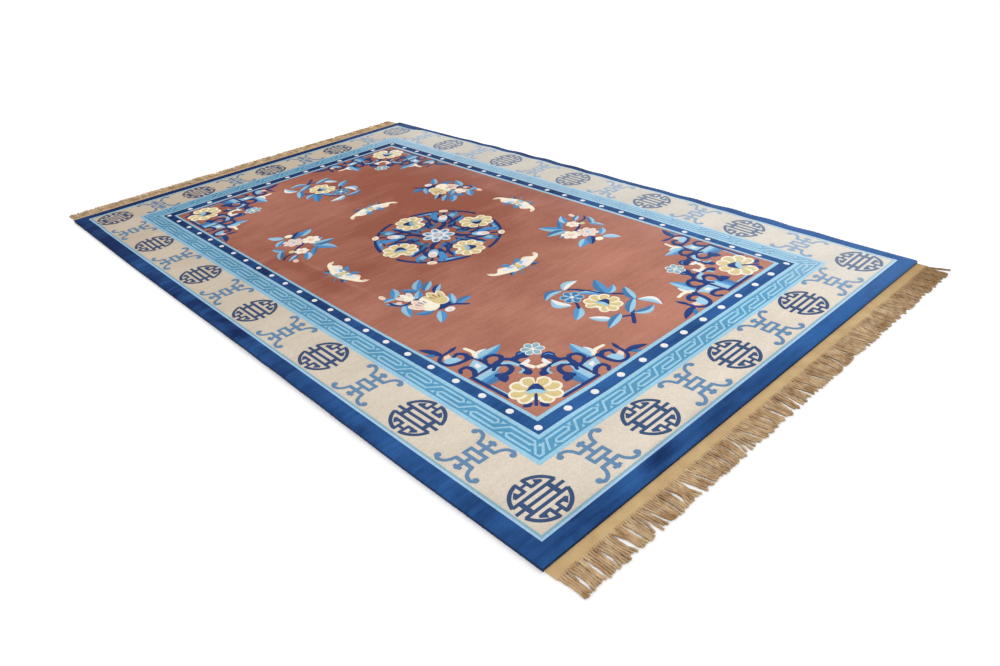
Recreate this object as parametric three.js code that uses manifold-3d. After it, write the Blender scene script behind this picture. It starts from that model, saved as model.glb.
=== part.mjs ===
// A hand-knotted Chinese pile rug lying flat on a floor, in millimetres, +Z up.
// X runs across the rug and Y along it. The origin is under the middle of the rug, on the floor.
// The rug is one thick sheet. Each short end has a flat woven band with a fringe of yarn locks.

import * as THREE from 'three';
import { mergeVertices } from 'three/addons/utils/BufferGeometryUtils.js';
import Module from 'manifold-3d';

const wasm = await Module();
wasm.setup();

// Sheet
const PILE_WIDTH = 1524;        // at its widest
const PILE_LENGTH = 2408;
const THICKNESS = 12;           // knotted foundation and pile together
const SHOULDER_WIDTH = 8;       // the pile rounds off over this width at every edge
const SHOULDER_DROP = 4;
const EDGE_REACH = 90;          // the crooked edges pull the sheet this far in
const COLUMN_PITCH = 84;
const ROW_PITCH = 58;

// Ends
const PIECE_GAP = 0.3;          // between the sheet and each end band
const BAND_DEPTH = 30;
const BAND_THICKNESS = 3.4;
const BAND_INSET = 3;           // the band is this much narrower than the pile at each side
const LOCKS_PER_END = 108;
const LOCK_WIDTH = 8;
const LOCK_HEIGHT = 3.2;
const LOCK_REACH = 60;          // from the band to the longest tip
const LOCK_UNEVEN = 9;          // the shortest lock is this much shorter
const LOCK_STEPS = 3;
const LOCK_TIP_WIDTH = 0.65;    // of its width at the root
const LOCK_TIP_HEIGHT = 0.75;
const LOCK_BEND_POWER = 1.5;    // a lock leaves its band nearly square and bends towards its tip
const ROOT_DEPTH = 6;           // how far a root runs into its band
const END_MARGIN = 7;           // from the band's end to the middle of the first lock
const CORNER_POWER = 8;         // the sway dies out in the last few locks at a corner

// How far each long edge lies in from the widest line, by distance from the near end
const LEFT_EDGE = [
  { along: 0, inset: 3 },
  { along: 420, inset: 0 },
  { along: 1150, inset: 2 },
  { along: 1800, inset: 0 },
  { along: PILE_LENGTH, inset: 4 },
];
const RIGHT_EDGE = [
  { along: 0, inset: 26 },
  { along: 330, inset: 19 },
  { along: 560, inset: 11 },
  { along: 1100, inset: 2 },
  { along: 1420, inset: 0 },
  { along: 1900, inset: 7 },
  { along: PILE_LENGTH, inset: 11 },
];

// Soft creases left by folding: each a ridge between two points, x and y from the origin
const CREASES = [
  { runs: 'along', fromX: -398, fromY: -520, toX: -386, toY: 160, halfWidth: 46, height: 3.2 },
  { runs: 'along', fromX: 366, fromY: -300, toX: 372, toY: 0, halfWidth: 42, height: 3.0 },
  { runs: 'across', fromX: -520, fromY: 300, toX: -170, toY: 330, halfWidth: 44, height: 2.8 },
];

// Ripples where a long edge doesn't lie down: side -1 is the left edge and 1 the right
const RIPPLES = [
  { side: 1, fromY: -980, toY: -250, waves: 5, height: 4.0, reach: 80 },
  { side: 1, fromY: -150, toY: 760, waves: 6, height: 4.6, reach: 95 },
  { side: -1, fromY: -760, toY: 120, waves: 5, height: 2.6, reach: 60 },
];
const RIPPLE_REST = 0.3;        // share of a ripple's height that stays between its waves

// Slow and quick sway of the fringe's tips along each end
const SWAYS = [
  { wavelength: 213, tip: 9.0, nearPhase: 0.6, farPhase: 2.9 },
  { wavelength: 97, tip: 3.6, nearPhase: 2.2, farPhase: 0.4 },
];

// Places where the fringe parts into two bunches, at x from the middle of that end
const PARTINGS = [
  { end: 'near', at: -548, reach: 74, opening: 13 },
  { end: 'near', at: -250, reach: 60, opening: 7 },
  { end: 'near', at: 330, reach: 72, opening: 6 },
  { end: 'far', at: -420, reach: 70, opening: 9 },
  { end: 'far', at: 160, reach: 64, opening: 8 },
];

// The last lock at the near end's right corner has strayed sideways
const STRAY_TIP = 20;

function ease(t) {
  return t * t * (3 - 2 * t);
}

function clamp01(t) {
  return Math.min(1, Math.max(0, t));
}

// A smooth hump, 1 at distance 0 and 0 from distance 1 on
function hump(distance) {
  const rest = 1 - clamp01(distance) ** 2;
  return rest * rest;
}

function insetAt(edge, along) {
  for (let i = 1; i < edge.length; i += 1) {
    const a = edge[i - 1];
    const b = edge[i];
    if (along <= b.along) {
      return a.inset + (b.inset - a.inset) * ease(clamp01((along - a.along) / (b.along - a.along)));
    }
  }
  return edge[edge.length - 1].inset;
}

// Moves a point of the true rectangle onto the rug's crooked outline
function crookedX(x, y) {
  const along = y + PILE_LENGTH / 2;
  const fromLeft = x + PILE_WIDTH / 2;
  const fromRight = PILE_WIDTH / 2 - x;
  const left = insetAt(LEFT_EDGE, along) * (1 - clamp01(fromLeft / EDGE_REACH)) ** 2;
  const right = insetAt(RIGHT_EDGE, along) * (1 - clamp01(fromRight / EDGE_REACH)) ** 2;
  return x + left - right;
}

// Height of the sheet's underside above the floor
function lift(x, y) {
  let height = 0;
  for (const crease of CREASES) {
    const runX = crease.toX - crease.fromX;
    const runY = crease.toY - crease.fromY;
    const length = Math.hypot(runX, runY);
    const along = ((x - crease.fromX) * runX + (y - crease.fromY) * runY) / length;
    const across = ((x - crease.fromX) * runY - (y - crease.fromY) * runX) / length;
    const offMiddle = Math.abs(along - length / 2) / (length / 2);
    height += crease.height * hump(Math.abs(across) / crease.halfWidth) * hump(offMiddle);
  }
  for (const ripple of RIPPLES) {
    const along = (y - ripple.fromY) / (ripple.toY - ripple.fromY);
    const fromEdge = PILE_WIDTH / 2 - ripple.side * x;
    if (along > 0 && along < 1 && fromEdge < ripple.reach) {
      const wave = Math.sin(Math.PI * ripple.waves * along) ** 2;
      const fade = Math.sqrt(Math.sin(Math.PI * along)) * hump(fromEdge / ripple.reach);
      height += ripple.height * (RIPPLE_REST + (1 - RIPPLE_REST) * wave) * fade;
    }
  }
  return height;
}

// Even stations from -size/2 to size/2, with the shoulder's and each named line's own added
function stations(size, pitch, extra) {
  const half = size / 2;
  const count = Math.round((size - 2 * EDGE_REACH) / pitch);
  const list = [-half, -half + SHOULDER_WIDTH, -half + EDGE_REACH / 2];
  for (let i = 0; i <= count; i += 1) {
    const place = -half + EDGE_REACH + ((size - 2 * EDGE_REACH) * i) / count;
    if (!extra.some((line) => Math.abs(line - place) < pitch / 3)) list.push(place);
  }
  list.push(half - EDGE_REACH / 2, half - SHOULDER_WIDTH, half);
  return [...list, ...extra].sort((a, b) => a - b);
}

// Three lines on each crease that runs the given way
function creaseLines(runs) {
  return CREASES.filter((row) => row.runs === runs).flatMap((crease) => {
    const middle = runs === 'along' ? (crease.fromX + crease.toX) / 2 : (crease.fromY + crease.toY) / 2;
    return [middle - crease.halfWidth / 2, middle, middle + crease.halfWidth / 2];
  });
}

function material(colour, roughness) {
  return new THREE.MeshStandardMaterial({ color: colour, roughness, metalness: 0 });
}

function rugPile() {
  const xs = stations(PILE_WIDTH, COLUMN_PITCH, creaseLines('along'));
  const ys = stations(PILE_LENGTH, ROW_PITCH, creaseLines('across'));
  const geometry = new THREE.BoxGeometry(1, 1, 1, xs.length - 1, ys.length - 1, 1);
  const position = geometry.attributes.position;
  for (let i = 0; i < position.count; i += 1) {
    const column = Math.round((position.getX(i) + 0.5) * (xs.length - 1));
    const row = Math.round((position.getY(i) + 0.5) * (ys.length - 1));
    const x = xs[column];
    const y = ys[row];
    const atEdge = column === 0 || row === 0 || column === xs.length - 1 || row === ys.length - 1;
    const top = THICKNESS - (atEdge ? SHOULDER_DROP : 0);
    const z = lift(x, y) + (position.getZ(i) > 0 ? top : 0);
    position.setXYZ(i, crookedX(x, y), y, z);
  }
  geometry.computeVertexNormals();
  const mesh = new THREE.Mesh(geometry, material('#a7695a', 0.95));
  mesh.name = 'rug_pile';
  return mesh;
}

// A repeatable unevenness from 0 to 1 for lock number i
function uneven(i, seed) {
  const wobble = Math.sin(i * 12.9898 + seed * 78.233) * 43758.5453;
  return wobble - Math.floor(wobble);
}

// Sideways move of a lock's tip
function tipSway(x, end) {
  let sway = 0;
  for (const row of SWAYS) {
    const phase = end === 'near' ? row.nearPhase : row.farPhase;
    sway += row.tip * Math.sin((2 * Math.PI * x) / row.wavelength + phase);
  }
  for (const parting of PARTINGS.filter((row) => row.end === end)) {
    const off = (x - parting.at) / parting.reach;
    sway += parting.opening * Math.sign(off) * Math.sin(Math.PI * Math.sqrt(clamp01(Math.abs(off))));
  }
  return sway;
}

// One lock: a four-sided tapering bar that lies level on the floor and bends towards its tip
function lock(rootX, reach, sway) {
  const length = ROOT_DEPTH + reach;
  const geometry = new THREE.BoxGeometry(1, 1, 1, 1, LOCK_STEPS, 1);
  const position = geometry.attributes.position;
  for (let i = 0; i < position.count; i += 1) {
    const along = 0.5 - position.getY(i);
    const halfWidth = (LOCK_WIDTH / 2) * (1 - (1 - LOCK_TIP_WIDTH) * along);
    const height = LOCK_HEIGHT * (1 - (1 - LOCK_TIP_HEIGHT) * along);
    const bend = sway * along ** LOCK_BEND_POWER;
    position.setXYZ(
      i,
      rootX + bend + Math.sign(position.getX(i)) * halfWidth,
      ROOT_DEPTH - length * along,
      position.getZ(i) > 0 ? height : 0,
    );
  }
  return geometry;
}

function toSolid(geometry) {
  const bare = geometry.clone();
  bare.deleteAttribute('normal');
  bare.deleteAttribute('uv');
  const merged = mergeVertices(bare);
  return new wasm.Manifold(new wasm.Mesh({
    numProp: 3,
    vertProperties: merged.attributes.position.array,
    triVerts: new Uint32Array(merged.index.array),
  }));
}

function toGeometry(solid) {
  const { vertProperties, triVerts } = solid.getMesh();
  const geometry = new THREE.BufferGeometry();
  geometry.setAttribute('position', new THREE.BufferAttribute(vertProperties, 3));
  geometry.setIndex(new THREE.BufferAttribute(triVerts, 1));
  geometry.computeVertexNormals();
  return geometry;
}

// One end, drawn with the fringe towards -Y and the band's outer line at y = 0
function fringe(end) {
  const turned = end === 'far';
  const along = turned ? PILE_LENGTH : 0;
  const leftEdge = -PILE_WIDTH / 2 + insetAt(turned ? RIGHT_EDGE : LEFT_EDGE, along) + BAND_INSET;
  const rightEdge = PILE_WIDTH / 2 - insetAt(turned ? LEFT_EDGE : RIGHT_EDGE, along) - BAND_INSET;
  const band = new THREE.BoxGeometry(rightEdge - leftEdge, BAND_DEPTH, BAND_THICKNESS);
  band.translate((leftEdge + rightEdge) / 2, BAND_DEPTH / 2, BAND_THICKNESS / 2);
  let solid = toSolid(band);
  const pitch = (rightEdge - leftEdge - 2 * END_MARGIN) / (LOCKS_PER_END - 1);
  for (let i = 0; i < LOCKS_PER_END; i += 1) {
    const rootX = leftEdge + END_MARGIN + i * pitch;
    const strays = end === 'near' && i === LOCKS_PER_END - 1;
    const middle = (2 * rootX - leftEdge - rightEdge) / (rightEdge - leftEdge);
    const settle = 1 - Math.abs(middle) ** CORNER_POWER;
    const sway = strays ? STRAY_TIP : tipSway(rootX, end) * settle;
    const reach = LOCK_REACH - LOCK_UNEVEN * uneven(i, turned ? 2 : 1);
    solid = solid.add(toSolid(lock(rootX, reach, sway)));
  }
  const mesh = new THREE.Mesh(toGeometry(solid), material('#b2946c', 0.9));
  mesh.name = `fringe_${end}`;
  mesh.position.y = (turned ? 1 : -1) * (PILE_LENGTH / 2 + PIECE_GAP + BAND_DEPTH);
  mesh.rotation.z = turned ? Math.PI : 0;
  return mesh;
}

const rug = new THREE.Group();
rug.add(rugPile(), fringe('near'), fringe('far'));

export default rug;
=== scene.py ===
"""A hand-knotted Chinese pile rug with a band and fringe at each short end, laid flat on a pale floor.

The rug is one closed mesh: a pile face cut into the coloured shapes of its pattern, with the pile clipped
down along every change of colour, rounded edges, overcast sides and a knotted back. The fringes are
twisted cotton yarns that lie level on the floor. Lengths are in millimetres unless a name says metres.
"""

import math
import random
from contextlib import contextmanager

import bpy
from mathutils import Matrix, Vector
from mathutils.bvhtree import BVHTree
from mathutils.geometry import convex_hull_2d, delaunay_2d_cdt
import numpy as np


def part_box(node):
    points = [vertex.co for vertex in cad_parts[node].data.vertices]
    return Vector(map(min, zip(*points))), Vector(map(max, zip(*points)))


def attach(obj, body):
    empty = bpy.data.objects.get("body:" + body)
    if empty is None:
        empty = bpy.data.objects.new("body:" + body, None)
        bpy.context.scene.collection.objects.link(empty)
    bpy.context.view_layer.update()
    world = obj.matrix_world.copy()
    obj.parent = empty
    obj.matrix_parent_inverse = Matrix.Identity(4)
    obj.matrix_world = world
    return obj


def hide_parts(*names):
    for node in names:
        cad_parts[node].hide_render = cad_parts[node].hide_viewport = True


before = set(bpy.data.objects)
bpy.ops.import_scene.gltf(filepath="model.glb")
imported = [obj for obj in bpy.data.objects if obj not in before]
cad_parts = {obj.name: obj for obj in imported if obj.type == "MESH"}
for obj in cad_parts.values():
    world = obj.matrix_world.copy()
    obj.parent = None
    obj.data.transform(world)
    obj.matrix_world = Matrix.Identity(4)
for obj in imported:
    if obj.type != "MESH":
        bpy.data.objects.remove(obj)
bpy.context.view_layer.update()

bl_info = {
    "name": "Chinese pile rug",
    "version": (1, 0, 0),
    "blender": (4, 5, 0),
    "location": "3D View > Sidebar > Rug",
    "description": "Builds a hand-knotted Chinese rug with fringes around its packed solids",
    "category": "Object",
}

MM = 0.001
PILE_LOW = Vector(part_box("rug_pile")[0]) / MM
HALF_WIDTH, HALF_LENGTH = -PILE_LOW.x, -PILE_LOW.y
BAND_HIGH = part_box("fringe_near")[1][2] / MM

# The rug's build, as its solids have it
THICKNESS = 12.0
SHOULDER_WIDTH = 8.0
SHOULDER_DROP = 4.0
EDGE_REACH = 90.0
BAND_DEPTH = 30.0
PIECE_GAP = 0.3
BAND_INSET = 3.0
LEFT_EDGE = ((0, 3), (420, 0), (1150, 2), (1800, 0), (2 * HALF_LENGTH, 4))
RIGHT_EDGE = ((0, 26), (330, 19), (560, 11), (1100, 2), (1420, 0), (1900, 7), (2 * HALF_LENGTH, 11))
# from x, from y, to x, to y, half width, height
CREASES = (
    (-398, -520, -386, 160, 46, 3.2),
    (366, -300, 372, 0, 42, 3.0),
    (-520, 300, -170, 330, 44, 2.8),
)
# side, from y, to y, waves, height, reach
RIPPLES = (
    (1, -980, -250, 5, 4.0, 80),
    (1, -150, 760, 6, 4.6, 95),
    (-1, -760, 120, 5, 2.6, 60),
)
RIPPLE_REST = 0.3


def ease(t):
    return t * t * (3 - 2 * t)


def clamp01(t):
    return min(1.0, max(0.0, t))


def hump(distance):
    return (1 - clamp01(distance) ** 2) ** 2


def inset_at(edge, along):
    for (start, inset), (end, next_inset) in zip(edge, edge[1:]):
        if along <= end:
            return inset + (next_inset - inset) * ease(clamp01((along - start) / (end - start)))
    return edge[-1][1]


def crooked_x(x, y):
    """Moves a point of the true rectangle onto the rug's crooked outline."""
    along = y + HALF_LENGTH
    left = inset_at(LEFT_EDGE, along) * (1 - clamp01((x + HALF_WIDTH) / EDGE_REACH)) ** 2
    right = inset_at(RIGHT_EDGE, along) * (1 - clamp01((HALF_WIDTH - x) / EDGE_REACH)) ** 2
    return x + left - right


def lift(x, y):
    """Height of the sheet's underside above the floor."""
    height = 0.0
    for from_x, from_y, to_x, to_y, half_width, ridge in CREASES:
        run_x, run_y = to_x - from_x, to_y - from_y
        length = math.hypot(run_x, run_y)
        along = ((x - from_x) * run_x + (y - from_y) * run_y) / length
        across = ((x - from_x) * run_y - (y - from_y) * run_x) / length
        off_middle = abs(along - length / 2) / (length / 2)
        height += ridge * hump(abs(across) / half_width) * hump(off_middle)
    for side, from_y, to_y, waves, ridge, reach in RIPPLES:
        along = (y - from_y) / (to_y - from_y)
        from_edge = HALF_WIDTH - side * x
        if 0 < along < 1 and from_edge < reach:
            wave = math.sin(math.pi * waves * along) ** 2
            fade = math.sqrt(math.sin(math.pi * along)) * hump(from_edge / reach)
            height += ridge * (RIPPLE_REST + (1 - RIPPLE_REST) * wave) * fade
    return height


# Pattern: shapes in painter's order

SMOOTH_STEPS = 5
ROUND_STEP = 4.5         # longest side of a drawn circle


def oval(at, half_length, half_width, turn=0.0):
    sides = max(8, round(2 * math.pi * max(half_length, half_width) / ROUND_STEP))
    c, s = math.cos(math.radians(turn)), math.sin(math.radians(turn))
    points = []
    for i in range(sides):
        angle = 2 * math.pi * i / sides
        x, y = half_length * math.cos(angle), half_width * math.sin(angle)
        points.append((at[0] + c * x - s * y, at[1] + s * x + c * y))
    return points


def curved(points, steps=SMOOTH_STEPS):
    """A smooth curve through the points."""
    ends = [points[0], *points, points[-1]]
    path = []
    for a, b, c, d in zip(ends, ends[1:], ends[2:], ends[3:]):
        for i in range(steps):
            t = i / steps
            path.append(tuple(
                0.5 * (2 * q + (r - p) * t + (2 * p - 5 * q + 4 * r - s) * t * t
                       + (3 * q - p - 3 * r + s) * t ** 3)
                for p, q, r, s in zip(a, b, c, d)
            ))
    return [*path, points[-1]]


def arc(at, radius, start, end):
    """Points along a circle between two angles in degrees."""
    steps = max(2, round(abs(math.radians(end - start)) * radius / (2 * ROUND_STEP)))
    return [
        (at[0] + radius * math.cos(math.radians(start + (end - start) * i / steps)),
         at[1] + radius * math.sin(math.radians(start + (end - start) * i / steps)))
        for i in range(steps + 1)
    ]


class Pattern:
    """The rug's coloured shapes, in millimetres from its near left corner: later ones cover earlier ones."""

    def __init__(self):
        self.shapes = []
        self.placement = Matrix.Identity(4)

    @contextmanager
    def placed(self, at, turn=0.0, mirror=False, scale=1.0):
        """Draws what follows moved, turned in degrees, mirrored and scaled."""
        kept = self.placement
        move = Matrix.Translation((*at, 0)) @ Matrix.Rotation(math.radians(turn), 4, "Z")
        self.placement = kept @ (move @ Matrix.Diagonal(((-1 if mirror else 1) * scale, scale, 1, 1)))
        yield
        self.placement = kept

    def shape(self, dye, points):
        placed = [(self.placement @ Vector((x, y, 0))).xy for x, y in points]
        area = sum(a.x * b.y - b.x * a.y for a, b in zip(placed, placed[1:] + placed[:1]))
        self.shapes.append((dye, placed if area > 0 else placed[::-1]))

    def bar(self, dye, x0, y0, x1, y1):
        self.shape(dye, [(x0, y0), (x1, y0), (x1, y1), (x0, y1)])

    def oval(self, dye, at, half_length, half_width, turn=0.0):
        self.shape(dye, oval(at, half_length, half_width, turn))

    def disc(self, dye, at, radius):
        self.oval(dye, at, radius, radius)

    def ribbon(self, dye, path, width, tip=None, blunt=False):
        """A band of colour along a path, one piece per step, tapering from width to tip."""
        tip = width if tip is None else tip
        sides = []
        for i, point in enumerate(path):
            before = Vector(path[max(i - 1, 0)])
            after = Vector(path[min(i + 1, len(path) - 1)])
            here = Vector(point)
            ahead = (after - before).normalized()
            arriving = (here - before).normalized() if i else ahead
            widen = 1 / max(0.62, abs(ahead.dot(arriving)))
            half = widen * (width + (tip - width) * i / (len(path) - 1)) / 2
            normal = Vector((-ahead.y, ahead.x)) * half
            sides.append((here + normal, here - normal))
        for here, following in zip(sides, sides[1:]):
            corners = [*here, *following]
            self.shape(dye, [corners[i] for i in convex_hull_2d(corners)])
        if not blunt:
            self.disc(dye, path[0], width / 2)
            self.disc(dye, path[-1], tip / 2)

    def scroll(self, dye, points, width, tip=None):
        """A round-ended ribbon along a smooth curve through the points."""
        self.ribbon(dye, curved(points), width, tip)

    def leaf(self, base, tip, width, dye, light=None, bend=0.0):
        """A pointed leaf, with its other half in a lighter dye."""
        steps = 8
        base, tip = Vector(base), Vector(tip)
        side = Vector((-(tip - base).y, (tip - base).x)).normalized()
        spine, left, right = [], [], []
        for i in range(steps + 1):
            t = i / steps
            middle = base.lerp(tip, t) + side * bend * math.sin(math.pi * t)
            half = side * width / 2 * math.sin(math.pi * t ** 0.85) ** 0.8
            spine.append(middle)
            left.append(middle + half)
            right.append(middle - half)
        self.shape(dye, left + right[-2:0:-1])
        if light:
            self.shape(light, spine + right[-2:0:-1])

    def blossom(self, at, radius, petals, rim, fill, turn=0.0):
        """Round petals about a middle, each with a paler rim."""
        for dye, size in ((rim, 1.0), (fill, 0.76)):
            for i in range(petals):
                angle = math.radians(turn + 360 * i / petals)
                reach = 0.62 * radius
                middle = (at[0] + reach * math.cos(angle), at[1] + reach * math.sin(angle))
                broad = 1.12 * reach * math.sin(math.pi / petals)
                self.oval(dye, middle, 0.38 * radius * size, broad * size, math.degrees(angle))
        self.disc(fill, at, 0.52 * radius)


# Layout of the pattern, from the rug's near left corner
PATTERN_WIDTH = 1510.0
PATTERN_LENGTH = 2 * HALF_LENGTH
PATTERN_LEFT = -760.3    # x of the pattern's left edge
SHEET_LEFT, SHEET_RIGHT = -HALF_WIDTH - PATTERN_LEFT, HALF_WIDTH - PATTERN_LEFT
# dye and how far in from the edge each band begins; the first two rows paint one light blue line as a
# painted highlight on its outer side and painted shade on its inner side, where its carved edges meet the
# light
BANDS = (
    ("pale_blue", 41),
    ("sea_blue", 46.5),
    ("ivory", 52),
    ("light_blue", 181),
    ("fret_ground", 192),
    ("light_blue", 238),
    ("deep_blue", 249),
    ("light_blue", 282),
    ("field", 293),
)
FIELD_INSET = 293
ROUNDEL_INSET = 118
ROUNDELS_NEAR = (118, 448, 767, 1085, 1394)
ROUNDELS_FAR = (103, 428, 757, 1072, 1397)
ROUNDELS_ALONG = 7
PEARL_INSET = 266
PEARL_RADIUS = 9.5
PEARLS_NEAR = (266, 359, 442, 530, 609, 692, 771, 847, 922, 996, 1077, 1157)
PEARLS_FAR = (266, 365, 448, 531, 608, 681, 760, 846, 927, 1006, 1083, 1158)
PEARLS_ALONG = 23
FRET_INSET = 214.5
FRET_ROW = 14.2
FRET_LINE = 5.5
FRETS_ACROSS = 12
FRETS_ALONG = 18
# how far the borders were knotted off the drawing: x as drawn, drift near by and drift from mid length on
DRIFT = (
    (0, 0, 0), (118, -1, -7), (192, 0, -3), (266, -1, -9), (293, -4, -17), (400, -3, -14), (600, 0, 0),
    (767, 0, 0), (1000, 20, 22), (1150, 20, 26), (1217, 27, 33), (1244, 16, 32), (1329, 4, 18),
    (1392, 4, 24), (1458, 4, 28), (1523, 0, 0),
)
DRIFT_INSET = 176        # the roundels of the short sides lie outside this and have no drift
DRIFT_FADE = 24
DRIFT_TURNS = (250, 700)      # where along the rug the drift begins to change, and over what length
LEFT_SHIFT = (930, 620, 20)   # the left borders' middle, half length and shift along the rug
LEFT_FADE = 200
END_SHIFTS = ((262, -5), (2150, 6))   # where the inner borders of the short sides lie, and their shift
END_REACH = 150
END_FADE = (330, 150)         # where across the rug that shift begins, and over what width


def knotted(x, y):
    """Moves a drawn point of the borders to where it was knotted."""
    inner = clamp01((y - DRIFT_INSET) / DRIFT_FADE)
    inner *= clamp01((PATTERN_LENGTH - DRIFT_INSET - y) / DRIFT_FADE)
    middle, half, shift = LEFT_SHIFT
    new_y = y + shift * hump(abs(y - middle) / half) * (1 - clamp01((x - FIELD_INSET) / LEFT_FADE))
    for row, row_shift in END_SHIFTS:
        new_y += row_shift * hump(abs(y - row) / END_REACH) * ease(clamp01((x - END_FADE[0]) / END_FADE[1]))
    along = ease(clamp01((y - DRIFT_TURNS[0]) / DRIFT_TURNS[1]))
    for (start, near, far), (end, next_near, next_far) in zip(DRIFT, DRIFT[1:]):
        if start <= x <= end:
            t = (x - start) / (end - start)
            drift = (near + (next_near - near) * t) * (1 - along) + (far + (next_far - far) * t) * along
            return x + drift * inner, new_y
    return x, new_y


def band_grounds(pattern):
    for dye, inset in BANDS:
        pattern.shape(dye, around(inset, PATTERN_WIDTH - inset, inset, PATTERN_LENGTH - inset, GRID_PITCH))


def sides():
    """Roundels, pearls, length, start and turn of each side, which is drawn with the rug's inside above."""
    step = (PATTERN_LENGTH - 2 * ROUNDEL_INSET) / (ROUNDELS_ALONG - 1)
    along = [ROUNDEL_INSET + step * i for i in range(ROUNDELS_ALONG)]
    pearls = spaced_count(PEARL_INSET, PATTERN_LENGTH - PEARL_INSET, PEARLS_ALONG - 1)[:-1]
    return (
        (ROUNDELS_NEAR, PEARLS_NEAR, PATTERN_WIDTH, (0, 0), 0),
        (along, pearls, PATTERN_LENGTH, (PATTERN_WIDTH, 0), 90),
        (ROUNDELS_FAR, PEARLS_FAR, PATTERN_WIDTH, (PATTERN_WIDTH, PATTERN_LENGTH), 180),
        (along, pearls, PATTERN_LENGTH, (0, PATTERN_LENGTH), 270),
    )


def roundel(pattern):
    """A ring held by three bars, with hooked keys above and below."""
    for start in (16, 98, 196, 278):
        pattern.ribbon("ink", arc((0, 0), 58.5, start, start + 66), 9, blunt=True)
    for height, half in ((17.5, 56), (0, 64), (-17.5, 56)):
        pattern.bar("ink", -half, height - 4.1, half, height + 4.1)
    for side in (-1, 1):
        pattern.bar("ink", side * 37 - 6, -17, side * 37 + 6, 17)
        for end in (-1, 1):
            post = side * 9.5
            pattern.bar("ink", post - 4.1, end * 30, post + 4.1, end * 61)
            pattern.ribbon("ink", [(post, end * 33), (side * 36, end * 33)], 8, blunt=True)
            pattern.shape("ink", [(side * 20, end * 34), (side * 40, end * 33), (side * 25, end * 47)])
    for end in (-1, 1):
        pattern.bar("ink", -9, end * 42, 9, end * 49)


def fret_ornament(pattern):
    """A stepped upright with a small frame at its middle and a tendril at each corner."""
    for end in (-1, 1):
        pattern.bar("steel", -5, end * 12, 5, end * 55)
        pattern.bar("steel", -27, end * 25, 27, end * 35)
        pattern.bar("steel", -11, end * 43, 11, end * 52)
        pattern.bar("steel", -27, end * 5, 27, end * 14)
        for side in (-1, 1):
            pattern.bar("steel", side * 18, -10, side * 27, 10)
            tendril = curved([
                (side * 24, end * 30), (side * 27, end * 42), (side * 36, end * 54),
                (side * 50, end * 58), (side * 58, end * 53),
            ])
            pattern.ribbon("steel", tendril, 9)
            pattern.disc("steel", (side * 57, end * 50.5), 8)


def key_fret_unit(pattern, pitch):
    """One S of the key fret: three rows joined by two turns, then a slanting link to the next."""
    row, half = FRET_ROW, FRET_ROW / 2
    left, right = pitch * 0.26 + 13, pitch * 0.97 - 8
    path = [
        (pitch * 0.02, -row), (pitch * 0.24, row), *arc((right, half), half, 90, -90),
        *arc((left, -half), half, 90, 270), (pitch * 1.02, -row),
    ]
    pattern.ribbon("light_blue", path, FRET_LINE)
    pattern.shape("light_blue", [
        (pitch * 0.99, row * 1.15), (pitch * 1.13, row * 1.15), (pitch * 1.03, row * 0.45),
    ])
    pattern.shape("light_blue", [
        (pitch * 0.14, -row * 1.15), (pitch * 0.25, -row * 0.5), (pitch * 0.26, -row * 1.15),
    ])


def borders(pattern):
    for centres, pearls, length, start, turn in sides():
        with pattern.placed(start, turn):
            short = length == PATTERN_WIDTH
            frets = FRETS_ACROSS if short else FRETS_ALONG
            # each corner roundel belongs to the short sides
            for i, centre in enumerate(centres):
                if short or 0 < i < len(centres) - 1:
                    with pattern.placed((centre, ROUNDEL_INSET)):
                        roundel(pattern)
                if i:
                    with pattern.placed(((centre + centres[i - 1]) / 2, ROUNDEL_INSET)):
                        fret_ornament(pattern)
            corner = FRET_INSET + FRET_ROW
            pitch = (length - 2 * corner) / frets
            for i in range(frets):
                with pattern.placed((corner + pitch * i, FRET_INSET)):
                    key_fret_unit(pattern, pitch)
            with pattern.placed((FRET_INSET, FRET_INSET), 45):
                pattern.ribbon("light_blue", [(22, 8), (-12, 8), (-19, 0), (-12, -8), (22, -8)], FRET_LINE)
            for pearl in pearls:
                pattern.disc("white", (pearl, PEARL_INSET), PEARL_RADIUS)


def polar(reach, angle):
    return reach * math.cos(math.radians(angle)), reach * math.sin(math.radians(angle))


PEONY_RADIUS = 54
# angle from the flower's own axis, reach and size, on both sides of the axis
PETALS = ((143, 35, 16), (107, 37, 18), (67, 36, 18.5), (26, 33, 18))


def peony(pattern, at, radius, turn=0.0):
    """Eight full petals in gold edged with cream, about a navy heart with a pale blue crescent."""
    with pattern.placed(at, turn, scale=radius / PEONY_RADIUS):
        pattern.disc("cream", (0, 0), 33)
        for angle, reach, size in PETALS:
            for side in (-1, 1):
                middle = polar(reach, side * angle)
                pattern.oval("cream", middle, size * 1.08, size, side * angle)
                pattern.oval("gold", middle, size * 0.8, size - 6.6, side * angle)
                pattern.ribbon("gold", [polar(reach - 8, side * angle), (0, 0)], size * 0.8, blunt=True)
        pattern.disc("gold", (-2, 0), 21)
        pattern.shape("field", [(24, 0), (56, -5), (56, 5)])
        pattern.shape("field", [(-30, 0), (-56, -11), (-56, 11)])
        pattern.shape("navy", [
            (24, -5), (24, 5), (13, 13), (-2, 19), (3, 7), (5, 0), (3, -7), (-2, -19), (13, -13),
        ])
        pattern.shape("light_blue", [
            (5, 0), (3, 9), (-4, 21), (-11, 16), (-8, 0), (-11, -16), (-4, -21), (3, -9),
        ])


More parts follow.
